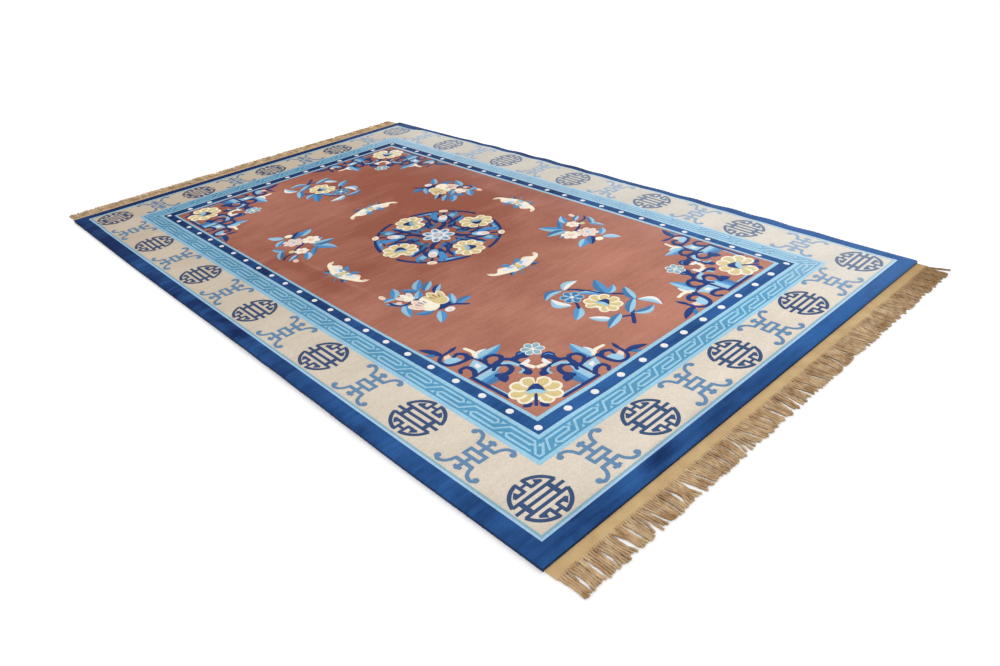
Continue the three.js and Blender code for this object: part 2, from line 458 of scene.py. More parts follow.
def spandrel_arm(pattern):
    """Stepped scrolls along one side of a field corner, away from the peony."""
    # boot-shaped step with a round scroll
    pattern.shape("slate", [(156, 8), (176, 8), (182, 60), (164, 58), (150, 40)])
    pattern.shape("sky", [(166, 10), (184, 10), (184, 66), (172, 60)])
    pattern.shape("light_blue", [(180, 10), (198, 10), (200, 78), (190, 84), (182, 58)])
    pattern.ribbon("navy", [(92, 10), (204, 9), (204, 72), (196, 92)], 10)
    pattern.ribbon("light_blue", [(96, 17), (150, 16)], 4, blunt=True)
    pattern.scroll("navy", [(168, 52), (158, 72), (166, 92), (186, 94), (198, 76), (190, 60)], 15, 9)
    pattern.leaf((166, 62), (136, 44), 24, "navy")
    pattern.scroll("navy", [(208, 84), (206, 108), (186, 118), (160, 116), (138, 110)], 12, 9)
    pattern.scroll("light_blue", [(197, 94), (184, 106), (164, 110)], 12, 9)
    pattern.oval("navy", (133, 105), 16, 11, 12)
    pattern.scroll("light_blue", [(140, 92), (142, 104), (152, 110)], 7, 5)
    pattern.shape("navy", [
        (178, 114), (200, 112), (198, 132), (206, 144), (204, 160), (188, 166), (172, 158), (172, 144),
        (181, 132),
    ])
    pattern.scroll("sky", [(198, 142), (196, 154), (186, 158)], 4, 3)
    # curl, slab and leaf beyond the step
    pattern.shape("light_blue", [(206, 28), (240, 32), (256, 62), (210, 64)])
    pattern.shape("white", [(220, 42), (234, 44), (240, 56), (222, 56)])
    pattern.scroll("navy", [(206, 66), (232, 70), (258, 66), (270, 52)], 10, 8)
    pattern.leaf((252, 66), (260, 146), 30, "sky", "light_blue", 5)
    pattern.leaf((258, 66), (270, 112), 20, "light_blue", "white", -3)
    pattern.scroll("navy", [(206, 72), (206, 94), (220, 110), (238, 102), (240, 82), (226, 72)], 14, 9)
    pattern.disc("field", (221, 88), 7)
    pattern.scroll("navy", [(204, 20), (222, 32), (242, 30), (244, 14), (234, 6)], 13, 9)
    pattern.disc("field", (228, 16), 5)
    pattern.scroll("cream", [(262, 72), (280, 82), (306, 80)], 12, 9)
    # bowl and tail
    pattern.shape("light_blue", [(272, 44), (276, 14), (294, 8), (304, 22), (296, 42)])
    pattern.shape("blush", [(298, 34), (302, 16), (314, 26), (312, 40)])
    pattern.scroll("navy", [(266, 64), (268, 28), (280, 7), (304, 6), (318, 24), (322, 56)], 12, 8)
    pattern.scroll("navy", [(268, 56), (284, 64), (300, 54), (296, 40)], 14, 9)
    pattern.leaf((318, 40), (328, 74), 12, "navy")
    pattern.leaf((314, 26), (380, 6), 19, "navy", None, 4)
    pattern.leaf((326, 16), (350, 0), 13, "slate")


def spandrel(pattern):
    for mirror, turn in ((False, 0), (True, -90)):
        with pattern.placed((0, 0), turn, mirror, 1.04 if mirror else 1.0):
            spandrel_arm(pattern)
    # hooks that frame a diamond between the arms
    for mirror, turn in ((False, 0), (True, -90)):
        with pattern.placed((0, 0), turn, mirror):
            pattern.ribbon("cream", [(135, 133), (150, 129), (160, 127)], 12, blunt=True)
            pattern.shape("white", [(156, 124), (172, 120), (174, 150), (163, 146)])
            pattern.ribbon("navy", [(138, 118), (152, 115), (166, 117)], 7)
    with pattern.placed((68, 70), 45):
        for side in (-1, 1):
            pattern.leaf((-50, side * 3), (-61, side * 30), 19, "navy", None, side * -3)
        peony(pattern, (0, 0), 60)
        pattern.ribbon("navy", [(-14, 0), (-54, 0)], 7, 9)
    with pattern.placed((186, 197)):
        pattern.blossom((0, 0), 30, 6, "white", "sea_blue", 22)
        pattern.disc("sea_blue", (0, 0), 14)
        for i in range(6):
            pattern.ribbon("white", [(0, 0), polar(19, 52 + 60 * i)], 3)
        pattern.disc("cream", (0, 0), 5)


def medallion_quarter(pattern):
    """What fills the medallion between two peonies, drawn along the X axis."""
    pattern.ribbon("navy", arc((0, 0), 203, -34, 34), 12, blunt=True)
    pattern.ribbon("sky", arc((0, 0), 191, 8, 27), 19, 9)
    pattern.ribbon("light_blue", arc((0, 0), 189, 10, 20), 9, 5)
    pattern.ribbon("navy", arc((0, 0), 178, 7, 22), 8, 5)
    pattern.leaf((140, -14), (200, -44), 38, "slate", "sky", -4)
    pattern.leaf((146, 18), (190, 40), 32, "sky", "navy", 2)
    pattern.leaf((104, 38), (164, 68), 30, "sky", "navy", 4)
    pattern.leaf((100, -36), (164, -68), 30, "navy", "sky", -4)
    pattern.leaf((54, 26), (112, 50), 26, "navy", "slate", 5)
    pattern.leaf((56, -24), (114, -46), 24, "slate", "navy", -5)
    pattern.shape("light_blue", [(150, -34), (172, -44), (184, -30), (164, -16)])
    pattern.shape("sky", [(158, 22), (176, 18), (186, 32), (170, 42)])
    pattern.scroll("navy", [(52, 2), (80, -10), (106, -8), (126, 4)], 21, 13)
    pattern.scroll("navy", [(84, 30), (104, 42), (130, 40), (146, 20)], 15, 9)
    pattern.scroll("navy", [(96, -26), (116, -34), (140, -28), (160, -16)], 14, 9)
    pattern.scroll("slate", [(70, 20), (92, 22), (108, 16)], 11, 7)
    pattern.scroll("navy", [(150, 18), (128, 22), (110, 6), (118, -18), (148, -22)], 9, 7)
    pattern.scroll("navy", [(34, 74), (56, 62), (76, 40)], 21, 12)
    pattern.leaf((40, 68), (72, 46), 12, "sky", "light_blue")
    pattern.scroll("slate", [(50, -62), (66, -50), (74, -30)], 15, 9)
    pattern.oval("navy", (134, 22), 34, 14, 18)
    pattern.oval("sky", (150, 27), 24, 11, 18)
    pattern.oval("light_blue", (130, -1), 21, 16)
    pattern.oval("white", (146, -2), 22, 15)
    pattern.oval("blush", (155, -2), 11, 9)
    pattern.ribbon("navy", [(172, -1), (200, 0)], 9)
    pattern.oval("cream", (206, 2), 11, 16)
    pattern.oval("blush", (208, 2), 6, 10)


def medallion(pattern):
    """A wreath of four peonies joined by scrolls, about a rosette."""
    for angle in (45, 135, 225, 315):
        with pattern.placed((0, 0), angle):
            medallion_quarter(pattern)
    for turn, place in ((150, (2, 150)), (-30, (0, -150)), (60, (-152, 2)), (240, (156, -12))):
        peony(pattern, place, 56, turn)
    for i in range(7):
        angle = 15 + 360 * i / 7
        pattern.oval("white", polar(34, angle), 21, 15, angle)
        pattern.oval("light_blue", polar(36, angle), 13, 9, angle)
        pattern.oval("slate", polar(38, angle), 6, 3.5, angle)
    pattern.disc("white", (0, 0), 21)
    pattern.disc("light_blue", (0, 0), 15)
    pattern.disc("blush", (0, 0), 9)


def leaves(pattern, table):
    """Leaves from a table of base, tip, width, bend, dye and lighter dye."""
    for base, tip, width, bend, dye, light in table:
        pattern.leaf(base, tip, width, dye, light, bend)


SPRAY_LEAVES = (
    ((-17, 128), (52, 138), 30, 12, "light_blue", "white"),
    ((-16, 130), (-92, 124), 28, -16, "light_blue", "slate"),
    ((-66, 52), (-74, 120), 34, 16, "light_blue", "white"),
    ((-56, 36), (-116, -8), 30, 4, "light_blue", "sky"),
    ((-50, -74), (-84, -22), 26, 2, "light_blue", "white"),
    ((-12, -70), (-92, -96), 28, -2, "light_blue", "slate"),
    ((2, -86), (78, -44), 28, 4, "slate", "light_blue"),
    ((70, -52), (108, 16), 30, 4, "slate", "light_blue"),
    ((10, -92), (78, -108), 28, -12, "slate", "light_blue"),
    ((74, -56), (92, -124), 30, 16, "white", "light_blue"),
    ((44, 22), (88, 106), 34, 4, "slate", "sky"),
    ((48, 22), (98, 48), 22, -5, "sky", "light_blue"),
    ((42, 32), (-4, 90), 24, -4, "sky", "light_blue"),
)


def spray(pattern):
    """A peony and a small blue flower on an S-curved stem with leaves."""
    pattern.scroll("navy", [(-28, -126), (4, -96), (40, -66), (76, -44), (72, -8), (50, 20), (26, 66),
                                   (8, 108), (-14, 132)], 11, 8)
    pattern.scroll("navy", [(-6, -96), (-24, -84), (-44, -76)], 9, 6)
    leaves(pattern, SPRAY_LEAVES)
    pattern.scroll("navy", [(-62, 30), (-46, 54), (-34, 80)], 9, 6)
    pattern.scroll("navy", [(44, 26), (30, 66), (12, 106)], 8, 6)
    pattern.blossom((-30, 84), 34, 6, "light_blue", "slate", 20)
    for i in range(6):
        pattern.oval("light_blue", (-30 + polar(17, 50 + 60 * i)[0], 84 + polar(17, 50 + 60 * i)[1]), 9, 4,
                     50 + 60 * i)
    pattern.disc("white", (-30, 84), 7)
    peony(pattern, (0, 0), 52, 10)


BOUQUET_LEAVES = (
    ((-36, 76), (-2, 128), 28, -4, "sky", "light_blue"),
    ((-32, 72), (-72, 74), 22, -6, "light_blue", "sky"),
    ((34, 62), (84, 114), 28, 4, "light_blue", "sky"),
    ((42, 54), (4, 104), 22, 3, "slate", "sky"),
    ((48, 44), (100, 82), 28, 3, "slate", "light_blue"),
    ((60, 14), (106, 46), 24, 3, "navy", "light_blue"),
    ((4, 12), (42, 60), 26, 3, "light_blue", "sky"),
    ((-34, 24), (-70, -46), 30, -4, "sky", "light_blue"),
    ((-40, 16), (-78, 62), 22, -4, "slate", "light_blue"),
    ((-4, -66), (-54, -40), 24, 4, "slate", "sky"),
    ((6, -76), (-34, -130), 28, 3, "sky", "light_blue"),
    ((54, -76), (90, -22), 28, 4, "sky", "light_blue"),
    ((58, -82), (118, -78), 26, 4, "slate", "sky"),
)


def blooms(pattern, table):
    """Overlapping petals from a table of middle, half length, half width, turn, rim dye and fill dye."""
    for layer in (0, 1):
        for x, y, long, broad, turn, *dyes in table:
            pattern.oval(dyes[layer], (x, y), long - 4 * layer, broad - 4 * layer, turn)


BOUQUET_BLOOMS = (
    (28, -2, 26, 13, 112, "cream", "gold"), (46, 2, 30, 14, 92, "cream", "gold"),
    (62, -8, 28, 13, 66, "cream", "gold"), (44, -26, 30, 25, 90, "cream", "gold"),
    (-22, -16, 30, 15, 122, "cream", "blush"), (-6, -8, 34, 15, 102, "cream", "blush"),
    (12, -12, 34, 15, 84, "cream", "cream"), (4, -38, 26, 25, 60, "cream", "cream"),
    (-23, 57, 20, 9, 116, "white", "blush"), (-10, 60, 21, 9, 94, "white", "cream"),
    (3, 57, 19, 9, 72, "white", "blush"), (-10, 44, 17, 17, 90, "white", "cream"),
)
BOUQUET_STAMENS = (
    ((-18, 0), (-12, -14)), ((-6, 4), (-2, -14)), ((8, 0), (6, -16)),
    ((34, 4), (38, -12)), ((48, 8), (47, -12)), ((60, -2), (54, -16)),
)


def bouquet(pattern):
    """A cream and gold tulip-shaped bloom and a small white one among leaves."""
    leaves(pattern, BOUQUET_LEAVES)
    pattern.scroll("navy", [(-62, 58), (-58, 36), (-40, 22), (-4, 22), (20, 22)], 9, 7)
    pattern.scroll("navy", [(22, -60), (54, -78), (80, -108)], 13, 8)
    pattern.oval("navy", (30, -61), 26, 15, 6)
    blooms(pattern, BOUQUET_BLOOMS)
    for start, end in BOUQUET_STAMENS:
        pattern.ribbon("slate" if start[0] < 20 else "field", [start, end], 4, 3)
    pattern.oval("blush", (-58, 102), 9, 15, -10)
    pattern.disc("blush", (-44, 42), 9)
    pattern.oval("white", (28, -91), 15, 13)
    pattern.disc("blush", (28, -91), 6)


POSY_LEAVES = (
    ((-20, 52), (-64, 128), 36, 4, "light_blue", "sky"),
    ((-22, 44), (-96, 58), 36, -5, "light_blue", "slate"),
    ((-24, 68), (22, 120), 20, -3, "slate", "sky"),
    ((20, 82), (52, 134), 26, 3, "pale_blue", "sky"),
    ((52, 74), (96, 96), 20, 3, "slate", "pale_blue"),
    ((72, 14), (108, 66), 22, -3, "slate", "light_blue"),
    ((68, 24), (86, -26), 20, 4, "light_blue", "sky"),
    ((22, -62), (68, -30), 24, -4, "sky", "light_blue"),
    ((-32, -44), (-90, -76), 32, 4, "sky", "light_blue"),
    ((14, -74), (50, -124), 28, 4, "pale_blue", "light_blue"),
    ((-30, 20), (-76, 22), 22, 3, "sky", "light_blue"),
)


def posy(pattern):
    """Three round pale blossoms among leaves."""
    leaves(pattern, POSY_LEAVES)
    pattern.scroll("navy", [(-4, 18), (24, 30), (54, 54), (86, 60), (102, 76)], 9, 7)
    pattern.leaf((0, -42), (-50, -90), 28, "navy", "slate")
    for at, radius, petals, rim, fill, turn in (((-38, 8), 32, 6, "white", "cream", 10),
                                                ((12, -18), 36, 7, "white", "blush", 0),
                                                ((28, 60), 24, 6, "white", "cream", 30)):
        pattern.blossom(at, radius, petals, rim, fill, turn)
        pattern.disc("white" if fill == "blush" else "blush", at, radius * 0.34)
    pattern.disc("pale_blue", (12, -18), 8)
    pattern.disc("gold", (54, 42), 10)
    pattern.oval("blush", (80, 112), 9, 14, -14)
    pattern.oval("cream", (-4, -80), 14, 12)


def butterfly(pattern):
    """A butterfly seen from above with its wings spread, drawn as a pale crescent."""
    for side in (-1, 1):
        pattern.leaf((side * 20, -20), (side * 56, -40), 24, "steel", "ink", side * 4)
        pattern.scroll("steel", [(side * 8, -26), (side * 18, -44), (side * 30, -54)], 6, 4)
        pattern.leaf((side * 12, 10), (side * 34, 36), 20, "steel", "sky")
        pattern.shape("cream", curved([
            (side * 2, 13), (side * 24, 11), (side * 46, 24), (side * 60, 19), (side * 72, 7),
            (side * 84, 11), (side * 96, 26), (side * 96, 6), (side * 80, -8), (side * 56, -17),
            (side * 26, -29), (side * 2, -29),
        ]))
        pattern.oval("white", (side * 34, 0), 22, 10, side * 16)
        pattern.oval("light_blue", (side * 22, 4), 12, 6, side * 30)
        pattern.leaf((side * 82, 6), (side * 96, 24), 10, "blush")
        pattern.oval("blush", (side * 48, 20), 7, 5)
    pattern.oval("light_blue", (0, -20), 15, 12)
    pattern.oval("gold", (0, -4), 9, 21)
    pattern.oval("sky", (0, 14), 5, 7)


MEDALLION_AT = (767, 1208)
SPRAYS = (((760, 508), 0), ((765, 1908), 180))
BOUQUETS = (((445, 890), 0), ((1070, 1512), 180))
POSIES = (((1072, 862), 0), ((438, 1524), 180))
BUTTERFLIES = (((773, 850), 0), ((762, 1574), 180), ((408, 1216), 270), ((1116, 1202), 90))


def draw_pattern():
    pattern = Pattern()
    band_grounds(pattern)
    borders(pattern)
    width, length = PATTERN_WIDTH, PATTERN_LENGTH
    inset = FIELD_INSET
    for at, turn in (((inset, inset), 0), ((width - inset, inset), 90),
                     ((width - inset, length - inset), 180), ((inset, length - inset), 270)):
        with pattern.placed(at, turn):
            spandrel(pattern)
    pattern.shapes = [(dye, [Vector(knotted(*point)) for point in shape]) for dye, shape in pattern.shapes]
    with pattern.placed(MEDALLION_AT):
        medallion(pattern)
    for motif, places in ((spray, SPRAYS), (bouquet, BOUQUETS), (posy, POSIES), (butterfly, BUTTERFLIES)):
        for at, turn in places:
            with pattern.placed(at, turn):
                motif(pattern)
    return pattern.shapes


# Rug mesh

GRID_PITCH = 30.0        # the plain pile and the back are cut about this fine
EDGE_PITCH = 15.0        # along the rug's outline
SHOULDER_ROWS = (1.2, 3.0, 5.5, 9.0)
TOP_CUT = (0.4, 16.0)    # how closely a change of colour is followed, and its longest step
BACK_CUT = (1.2, 40.0)
BANK_PITCH = 4.2         # points beside a groove are at least this far apart
MERGE = 0.02             # points closer than this are one
# outset and height of each row down the rug's sides
SIDE_ROWS = ((0.4, 6.4), (0.6, 4.2), (0.4, 2.0), (0.0, 0.0))


def spaced_count(start, end, count):
    return [start + (end - start) * i / count for i in range(count + 1)]


def spaced(start, end, pitch):
    return spaced_count(start, end, max(1, round((end - start) / pitch)))


def around(left, right, near, far, pitch):
    """Points along the four sides of a rectangle, counter-clockwise."""
    xs, ys = spaced(left, right, pitch), spaced(near, far, pitch)
    return ([(x, near) for x in xs[:-1]] + [(right, y) for y in ys[:-1]]
            + [(x, far) for x in xs[:0:-1]] + [(left, y) for y in ys[:0:-1]])


def outline_points():
    """The true rectangle's outline in pattern millimetres."""
    return around(SHEET_LEFT, SHEET_RIGHT, 0.0, PATTERN_LENGTH, EDGE_PITCH)


def inner_grid(pitch):
    xs, ys = spaced(SHEET_LEFT, SHEET_RIGHT, pitch), spaced(0, PATTERN_LENGTH, pitch)
    return [(x, y) for x in xs[1:-1] for y in ys[1:-1]]


def shoulder_points():
    points = []
    for row in SHOULDER_ROWS:
        for x in spaced(SHEET_LEFT + row, SHEET_RIGHT - row, EDGE_PITCH):
            points += [(x, row), (x, PATTERN_LENGTH - row)]
        for y in spaced(row, PATTERN_LENGTH - row, EDGE_PITCH)[1:-1]:
            points += [(SHEET_LEFT + row, y), (SHEET_RIGHT - row, y)]
    return points


def within(shape, xs, ys):
    """Which of the places lie inside a shape."""
    inside = np.zeros(len(xs), bool)
    for (x0, y0), (x1, y1) in zip(shape, shape[1:] + shape[:1]):
        if y0 != y1:
            spans = (ys < y0) != (ys < y1)
            inside ^= spans & (xs < x0 + (ys - y0) * (x1 - x0) / (y1 - y0))
    return inside


def painted_faces(shapes):
    """Cuts the shapes into triangles, each in the dye of the last shape that covers it."""
    points, edges = [], []
    for shape in [outline_points(), *(shape for _, shape in shapes)]:
        first, count = len(points), len(shape)
        edges += [(first + i, first + (i + 1) % count) for i in range(count)]
        points += shape
    cut = delaunay_2d_cdt([Vector(p) for p in points], edges, [], 1, MERGE, False)
    corners, triangles = cut[0], cut[2]
    middles = np.array([tuple(p) for p in corners])[np.array(triangles)].mean(axis=1)
    order = np.argsort(middles[:, 0])
    xs, ys = middles[order].T
    owners = np.full(len(order), -1)
    for number, (_, shape) in enumerate(shapes):
        across, along = [p[0] for p in shape], [p[1] for p in shape]
        start, end = np.searchsorted(xs, (min(across), max(across)))
        close = start + np.flatnonzero((ys[start:end] > min(along)) & (ys[start:end] < max(along)))
        owners[close[within(shape, xs[close], ys[close])]] = number
    painted = [
        (tuple(triangles[face]), shapes[owner][0] if owner >= 0 else "deep_blue")
        for face, owner in zip(order.tolist(), owners.tolist())
    ]
    return corners, painted


def smoothed(points, path, tolerance):
    """The path's indices that keep it within the tolerance, by splitting at the farthest point."""
    start, end = points[path[0]], points[path[-1]]
    run = end - start
    length = run.length
    worst, split = tolerance, None
    for i in range(1, len(path) - 1):
        away = points[path[i]] - start
        off = abs(run.cross(away)) / length if length > 1e-9 else away.length
        if off > worst:
            worst, split = off, i
    if split is None:
        return [path[0], path[-1]]
    return smoothed(points, path[:split + 1], tolerance)[:-1] + smoothed(points, path[split:], tolerance)


def colour_edges(corners, painted, tolerance, step):
    """The lines where the dye changes, smoothed and cut to steps, as points and index pairs."""
    sides = {}
    for triangle, dye in painted:
        for a, b in zip(triangle, triangle[1:] + triangle[:1]):
            sides.setdefault((min(a, b), max(a, b)), set()).add(dye)
    links = {}
    for (a, b), dyes in sides.items():
        if len(dyes) > 1:
            links.setdefault(a, []).append(b)
            links.setdefault(b, []).append(a)
    done = set()
    paths = []
    # lines between forks first, then the closed loops that are left
    for start in sorted(links, key=lambda corner: (len(links[corner]) == 2, corner)):
        for following in links[start]:
            if (start, following) in done:
                continue
            path = [start, following]
            while len(links[path[-1]]) == 2 and path[-1] != start:
                a, b = links[path[-1]]
                path.append(b if a == path[-2] else a)
            done.update(zip(path, path[1:]))
            done.update(zip(path[1:], path))
            paths.append(path)
    points, index, pairs = [], {}, []

    def known(corner):
        if corner not in index:
            index[corner] = len(points)
            points.append(tuple(corners[corner]))
        return index[corner]

    for path in paths:
        if path[0] == path[-1]:
            middle = len(path) // 2
            first_half = smoothed(corners, path[:middle + 1], tolerance)
            kept = first_half[:-1] + smoothed(corners, path[middle:], tolerance)
        else:
            kept = smoothed(corners, path, tolerance)
        for a, b in zip(kept, kept[1:]):
            start, end = corners[a], corners[b]
            steps = max(1, math.ceil((end - start).length / step))
            last = known(a)
            for i in range(1, steps):
                points.append(tuple(start.lerp(end, i / steps)))
                pairs.append((last, len(points) - 1))
                last = len(points) - 1
            pairs.append((last, known(b)))
    return points, pairs


class Crowd:
    """Points sorted into small square cells, so that the ones near a place are quick to find."""

    def __init__(self, cell):
        self.cell = cell
        self.cells = {}

    def key(self, point):
        return int(point[0] // self.cell), int(point[1] // self.cell)

    def put(self, point):
        self.cells.setdefault(self.key(point), []).append(point)

    def near(self, point, distance):
        column, row = self.key(point)
        return any(
            math.hypot(other[0] - point[0], other[1] - point[1]) < distance
            for i in (column - 1, column, column + 1)
            for j in (row - 1, row, row + 1)
            for other in self.cells.get((i, j), ())
        )


def banks(points, pairs, groove_width):
    """Points on both sides of every colour edge, where the clipped groove reaches the full pile."""
    crowd = Crowd(groove_width)
    for a, b in pairs:
        for i in range(5):
            t = i / 4
            crowd.put(tuple(p + (q - p) * t for p, q in zip(points[a], points[b])))
    found = []
    taken = Crowd(BANK_PITCH)
    for a, b in pairs:
        (ax, ay), (bx, by) = points[a], points[b]
        length = math.hypot(bx - ax, by - ay)
        if length < 1e-6:
            continue
        step_x, step_y = -(by - ay) / length * groove_width, (bx - ax) / length * groove_width
        for side in (-1, 1):
            point = ((ax + bx) / 2 + side * step_x, (ay + by) / 2 + side * step_y)
            if not crowd.near(point, groove_width * 0.9) and not taken.near(point, BANK_PITCH):
                taken.put(point)
                found.append(point)
    return found, crowd


def cut_sheet(points, pairs, loose, outline):
    """Triangles over the whole outline that keep the colour edges; the outline's points come first."""
    corners = [Vector(p) for p in [*outline, *points, *loose]]
    first = len(outline)
    edges = [(i, (i + 1) % first) for i in range(first)]
    edges += [(a + first, b + first) for a, b in pairs]
    cut = delaunay_2d_cdt(corners, edges, [], 1, MERGE, True)
    return cut[0], cut[2], cut[3]


def dye_finder(corners, painted):
    flat = [Vector((corner.x, corner.y, 0)) for corner in corners]
    tree = BVHTree.FromPolygons(flat, [triangle for triangle, _ in painted])
    down = Vector((0, 0, -1))

    def find(x, y):
        hit = tree.ray_cast(Vector((x, y, 1)), down)
        return painted[hit[2]][1] if hit[2] is not None else "deep_blue"

    return find


def to_part(point, height=0.0):
    """A pattern point in part metres, at a height above the sheet's underside."""
    x, y = point[0] + PATTERN_LEFT, point[1] - HALF_LENGTH
    return Vector((crooked_x(x, y), y, lift(x, y) + height)) * MM


def pile_height(point):
    x, y = point[0] + PATTERN_LEFT, point[1] - HALF_LENGTH
    from_edge = min(HALF_WIDTH - abs(x), HALF_LENGTH - abs(y))
    return THICKNESS - SHOULDER_DROP * (1 - clamp01(from_edge / SHOULDER_WIDTH)) ** 2


def build_sheet(settings, slots):
    """The rug as vertices in metres and faces, with a dye slot and a pile or back mark for each face."""
    shapes = draw_pattern()
    corners, painted = painted_faces(shapes)
    find_dye = dye_finder(corners, painted)
    points, pairs = colour_edges(corners, painted, *TOP_CUT)
    bank_points, crowd = banks(points, pairs, settings.groove_width / MM)
    outline = outline_points()
    grid = [point for point in inner_grid(GRID_PITCH) if not crowd.near(point, 1.5)]
    top_loose = bank_points + grid + shoulder_points()
    top, top_faces, origins = cut_sheet(points, pairs, top_loose, outline)
    back, back_faces, _ = cut_sheet(*colour_edges(corners, painted, *BACK_CUT), grid, outline)

    grooved = {i for i, origin in enumerate(origins)
               if any(len(outline) <= o < len(outline) + len(points) for o in origin)}
    groove = settings.groove_depth / MM
    vertices = [to_part(p, pile_height(p) - (groove if i in grooved else 0)) for i, p in enumerate(top)]
    faces, dyes, on_back = [], [], []

    def add(face, dye, is_back):
        faces.append(face)
        dyes.append(slots[dye])
        on_back.append(is_back)

    def dye_under(points, face):
        return find_dye(*(sum((points[i] for i in face), Vector((0, 0))) / 3))

    for face in top_faces:
        add(face, dye_under(top, face), 0.0)

    ring = ring_numbers = list(range(len(outline)))
    for outset, height in SIDE_ROWS:
        new_ring = [len(vertices) + i for i in ring_numbers]
        for point in outline:
            place = to_part(point, height)
            if point[1] not in (0.0, PATTERN_LENGTH):
                place.x += math.copysign(outset * MM, place.x)
            vertices.append(place)
        for i, j in zip(ring_numbers, ring_numbers[1:] + [0]):
            add([ring[j], ring[i], new_ring[i], new_ring[j]], "selvedge", 0.0)
        ring = new_ring

    # the back's own outline points are the last ring
    back_numbers = ring + [len(vertices) + i for i in range(len(back) - len(ring))]
    vertices += [to_part(point) for point in back[len(ring):]]
    for face in back_faces:
        add([back_numbers[i] for i in reversed(face)], dye_under(back, face), 1.0)
    return vertices, faces, dyes, on_back


# Materials

KNOT_PITCH = 3.4         # 90 knots to the foot
RIB_PITCH = 1.6          # of the woven band
SOILED_AT = (0.74, -1.27)     # metres, as the size
SOILED_SIZE = (0.34, 0.5)
BAND_SHADE, BAND_SOIL = "#b9966a", "#b0905e"
YARN_SHADE, YARN_SOIL = "#9f7b55", "#8e6d46"
# painted light and shade: how much lighter the pile is painted at the rug's middle, as where its nap leans
# to the light, and how that changes with each metre
PAINTED_LIGHT_MIDDLE, PAINTED_LIGHT_ACROSS, PAINTED_LIGHT_ALONG = 0.46, 0.12, -0.34
# painted reflection of a window's cool light on the right side of the pile: where it begins and ends, and
# its strength
WINDOW_REACH = (0.25, 0.7)    # metres to the right of the middle
PAINTED_GLARE = 0.34
# painted light and shade where a hand or a fold has turned the pile, and beside folds and a dent: x, y, half
# length and half width in metres, turn in degrees, and how much lighter (above 0) or darker the wool is
# painted there
PAINTED_PATCHES = (
    (0.20, 0.20, 1.2, 1.2, 0, -0.42),
    (-0.22, 0.58, 0.50, 0.50, 0, 0.32),
    (0.0, 1.15, 1.0, 0.22, 0, -0.30),
    (-0.66, -1.180, 0.22, 0.080, 0, -0.42),
    (-0.40, -1.178, 0.11, 0.040, 10, -0.80),
    (-0.22, -1.180, 0.16, 0.060, 0, -0.44),
    (0.00, -1.190, 0.20, 0.060, 4, -0.52),
    (0.62, -1.190, 0.34, 0.060, 0, 0.12),
    (-0.75, -0.45, 0.060, 0.60, 0, -0.12),
    (-0.74, -1.060, 0.07, 0.16, 0, -0.36),
    (-0.735, -0.62, 0.030, 0.22, 0, 0.26),
    (-0.735, -0.06, 0.030, 0.26, 0, -0.30),
    (0.22, -0.50, 0.34, 0.17, 12, 0.20),
    (-0.10, 0.78, 0.26, 0.15, 0, 0.16),
    (-0.42, 0.16, 0.055, 0.42, 0, -0.22),
    (-0.385, 0.02, 0.012, 0.30, 2, 0.26),
    (0.40, 0.10, 0.07, 0.34, -3, 0.16),
    (-0.28, -0.64, 0.16, 0.09, 30, -0.14),
)


def linear(colour):
    """An sRGB hex value as linear red, green, blue and alpha."""
    parts = [int(colour[i:i + 2], 16) / 255 for i in (1, 3, 5)]
    return (*[p / 12.92 if p <= 0.04045 else ((p + 0.055) / 1.055) ** 2.4 for p in parts], 1.0)


def node(tree, kind, sockets=None, **settings):
    """Adds a node; sockets maps an input to a number, a colour or the output that feeds it."""
    made = tree.nodes.new(kind)
    for name, value in settings.items():
        setattr(made, name, value)
    for socket, value in (sockets or {}).items():
        if isinstance(value, bpy.types.NodeSocket):
            tree.links.new(value, made.inputs[socket])
        else:
            made.inputs[socket].default_value = value
    return made


def new_material(name):
    """A material, its empty node tree and the place on the object that its patterns are drawn from."""
    material = bpy.data.materials.new(name)
    material.use_nodes = True
    tree = material.node_tree
    tree.nodes.clear()
    return material, tree, node(tree, "ShaderNodeTexCoord").outputs["Object"]


def surface(tree, sockets):
    """Ends a material with its shader."""
    shader = node(tree, "ShaderNodeBsdfPrincipled", sockets).outputs[0]
    node(tree, "ShaderNodeOutputMaterial", {"Surface": shader})


def maths(tree, operation, *values, use_clamp=False):
    return node(tree, "ShaderNodeMath", dict(enumerate(values)), operation=operation,
                use_clamp=use_clamp).outputs[0]


def mapped(tree, place, scale, turn=0.0, at=(0, 0, 0), kind="POINT"):
    sockets = {"Vector": place, "Location": at, "Rotation": (0, 0, turn), "Scale": scale}
    return node(tree, "ShaderNodeMapping", sockets, vector_type=kind).outputs[0]


def noise(tree, place, scale, detail, roughness=0.5, distortion=0.0):
    """Cloudy noise with so many features to the metre."""
    sockets = {"Vector": place, "Scale": scale, "Detail": detail, "Roughness": roughness,
               "Distortion": distortion}
    return node(tree, "ShaderNodeTexNoise", sockets).outputs[0]


def cells(tree, place, randomness, distance="EUCLIDEAN"):
    """Distance to the middle of the nearest of a set of cells, one to the unit."""
    sockets = {"Vector": place, "Scale": 1.0, "Randomness": randomness}
    return node(tree, "ShaderNodeTexVoronoi", sockets, distance=distance).outputs[0]


def ranged(tree, value, start, end, low=0.0, high=1.0, steps="LINEAR"):
    """Turns values from start to end into values from low to high."""
    sockets = {"Value": value, "From Min": start, "From Max": end, "To Min": low, "To Max": high}
    return node(tree, "ShaderNodeMapRange", sockets, interpolation_type=steps).outputs[0]


def spot(tree, place, at, size, turn, middle):
    """A value that eases from its middle to nothing at the rim of an oval."""
    inside = mapped(tree, place, (*size, 1), turn, (*at, 0), "TEXTURE")
    away = node(tree, "ShaderNodeVectorMath", {0: inside}, operation="LENGTH").outputs["Value"]
    return ranged(tree, away, 0.0, 1.0, middle, 0.0, "SMOOTHSTEP")


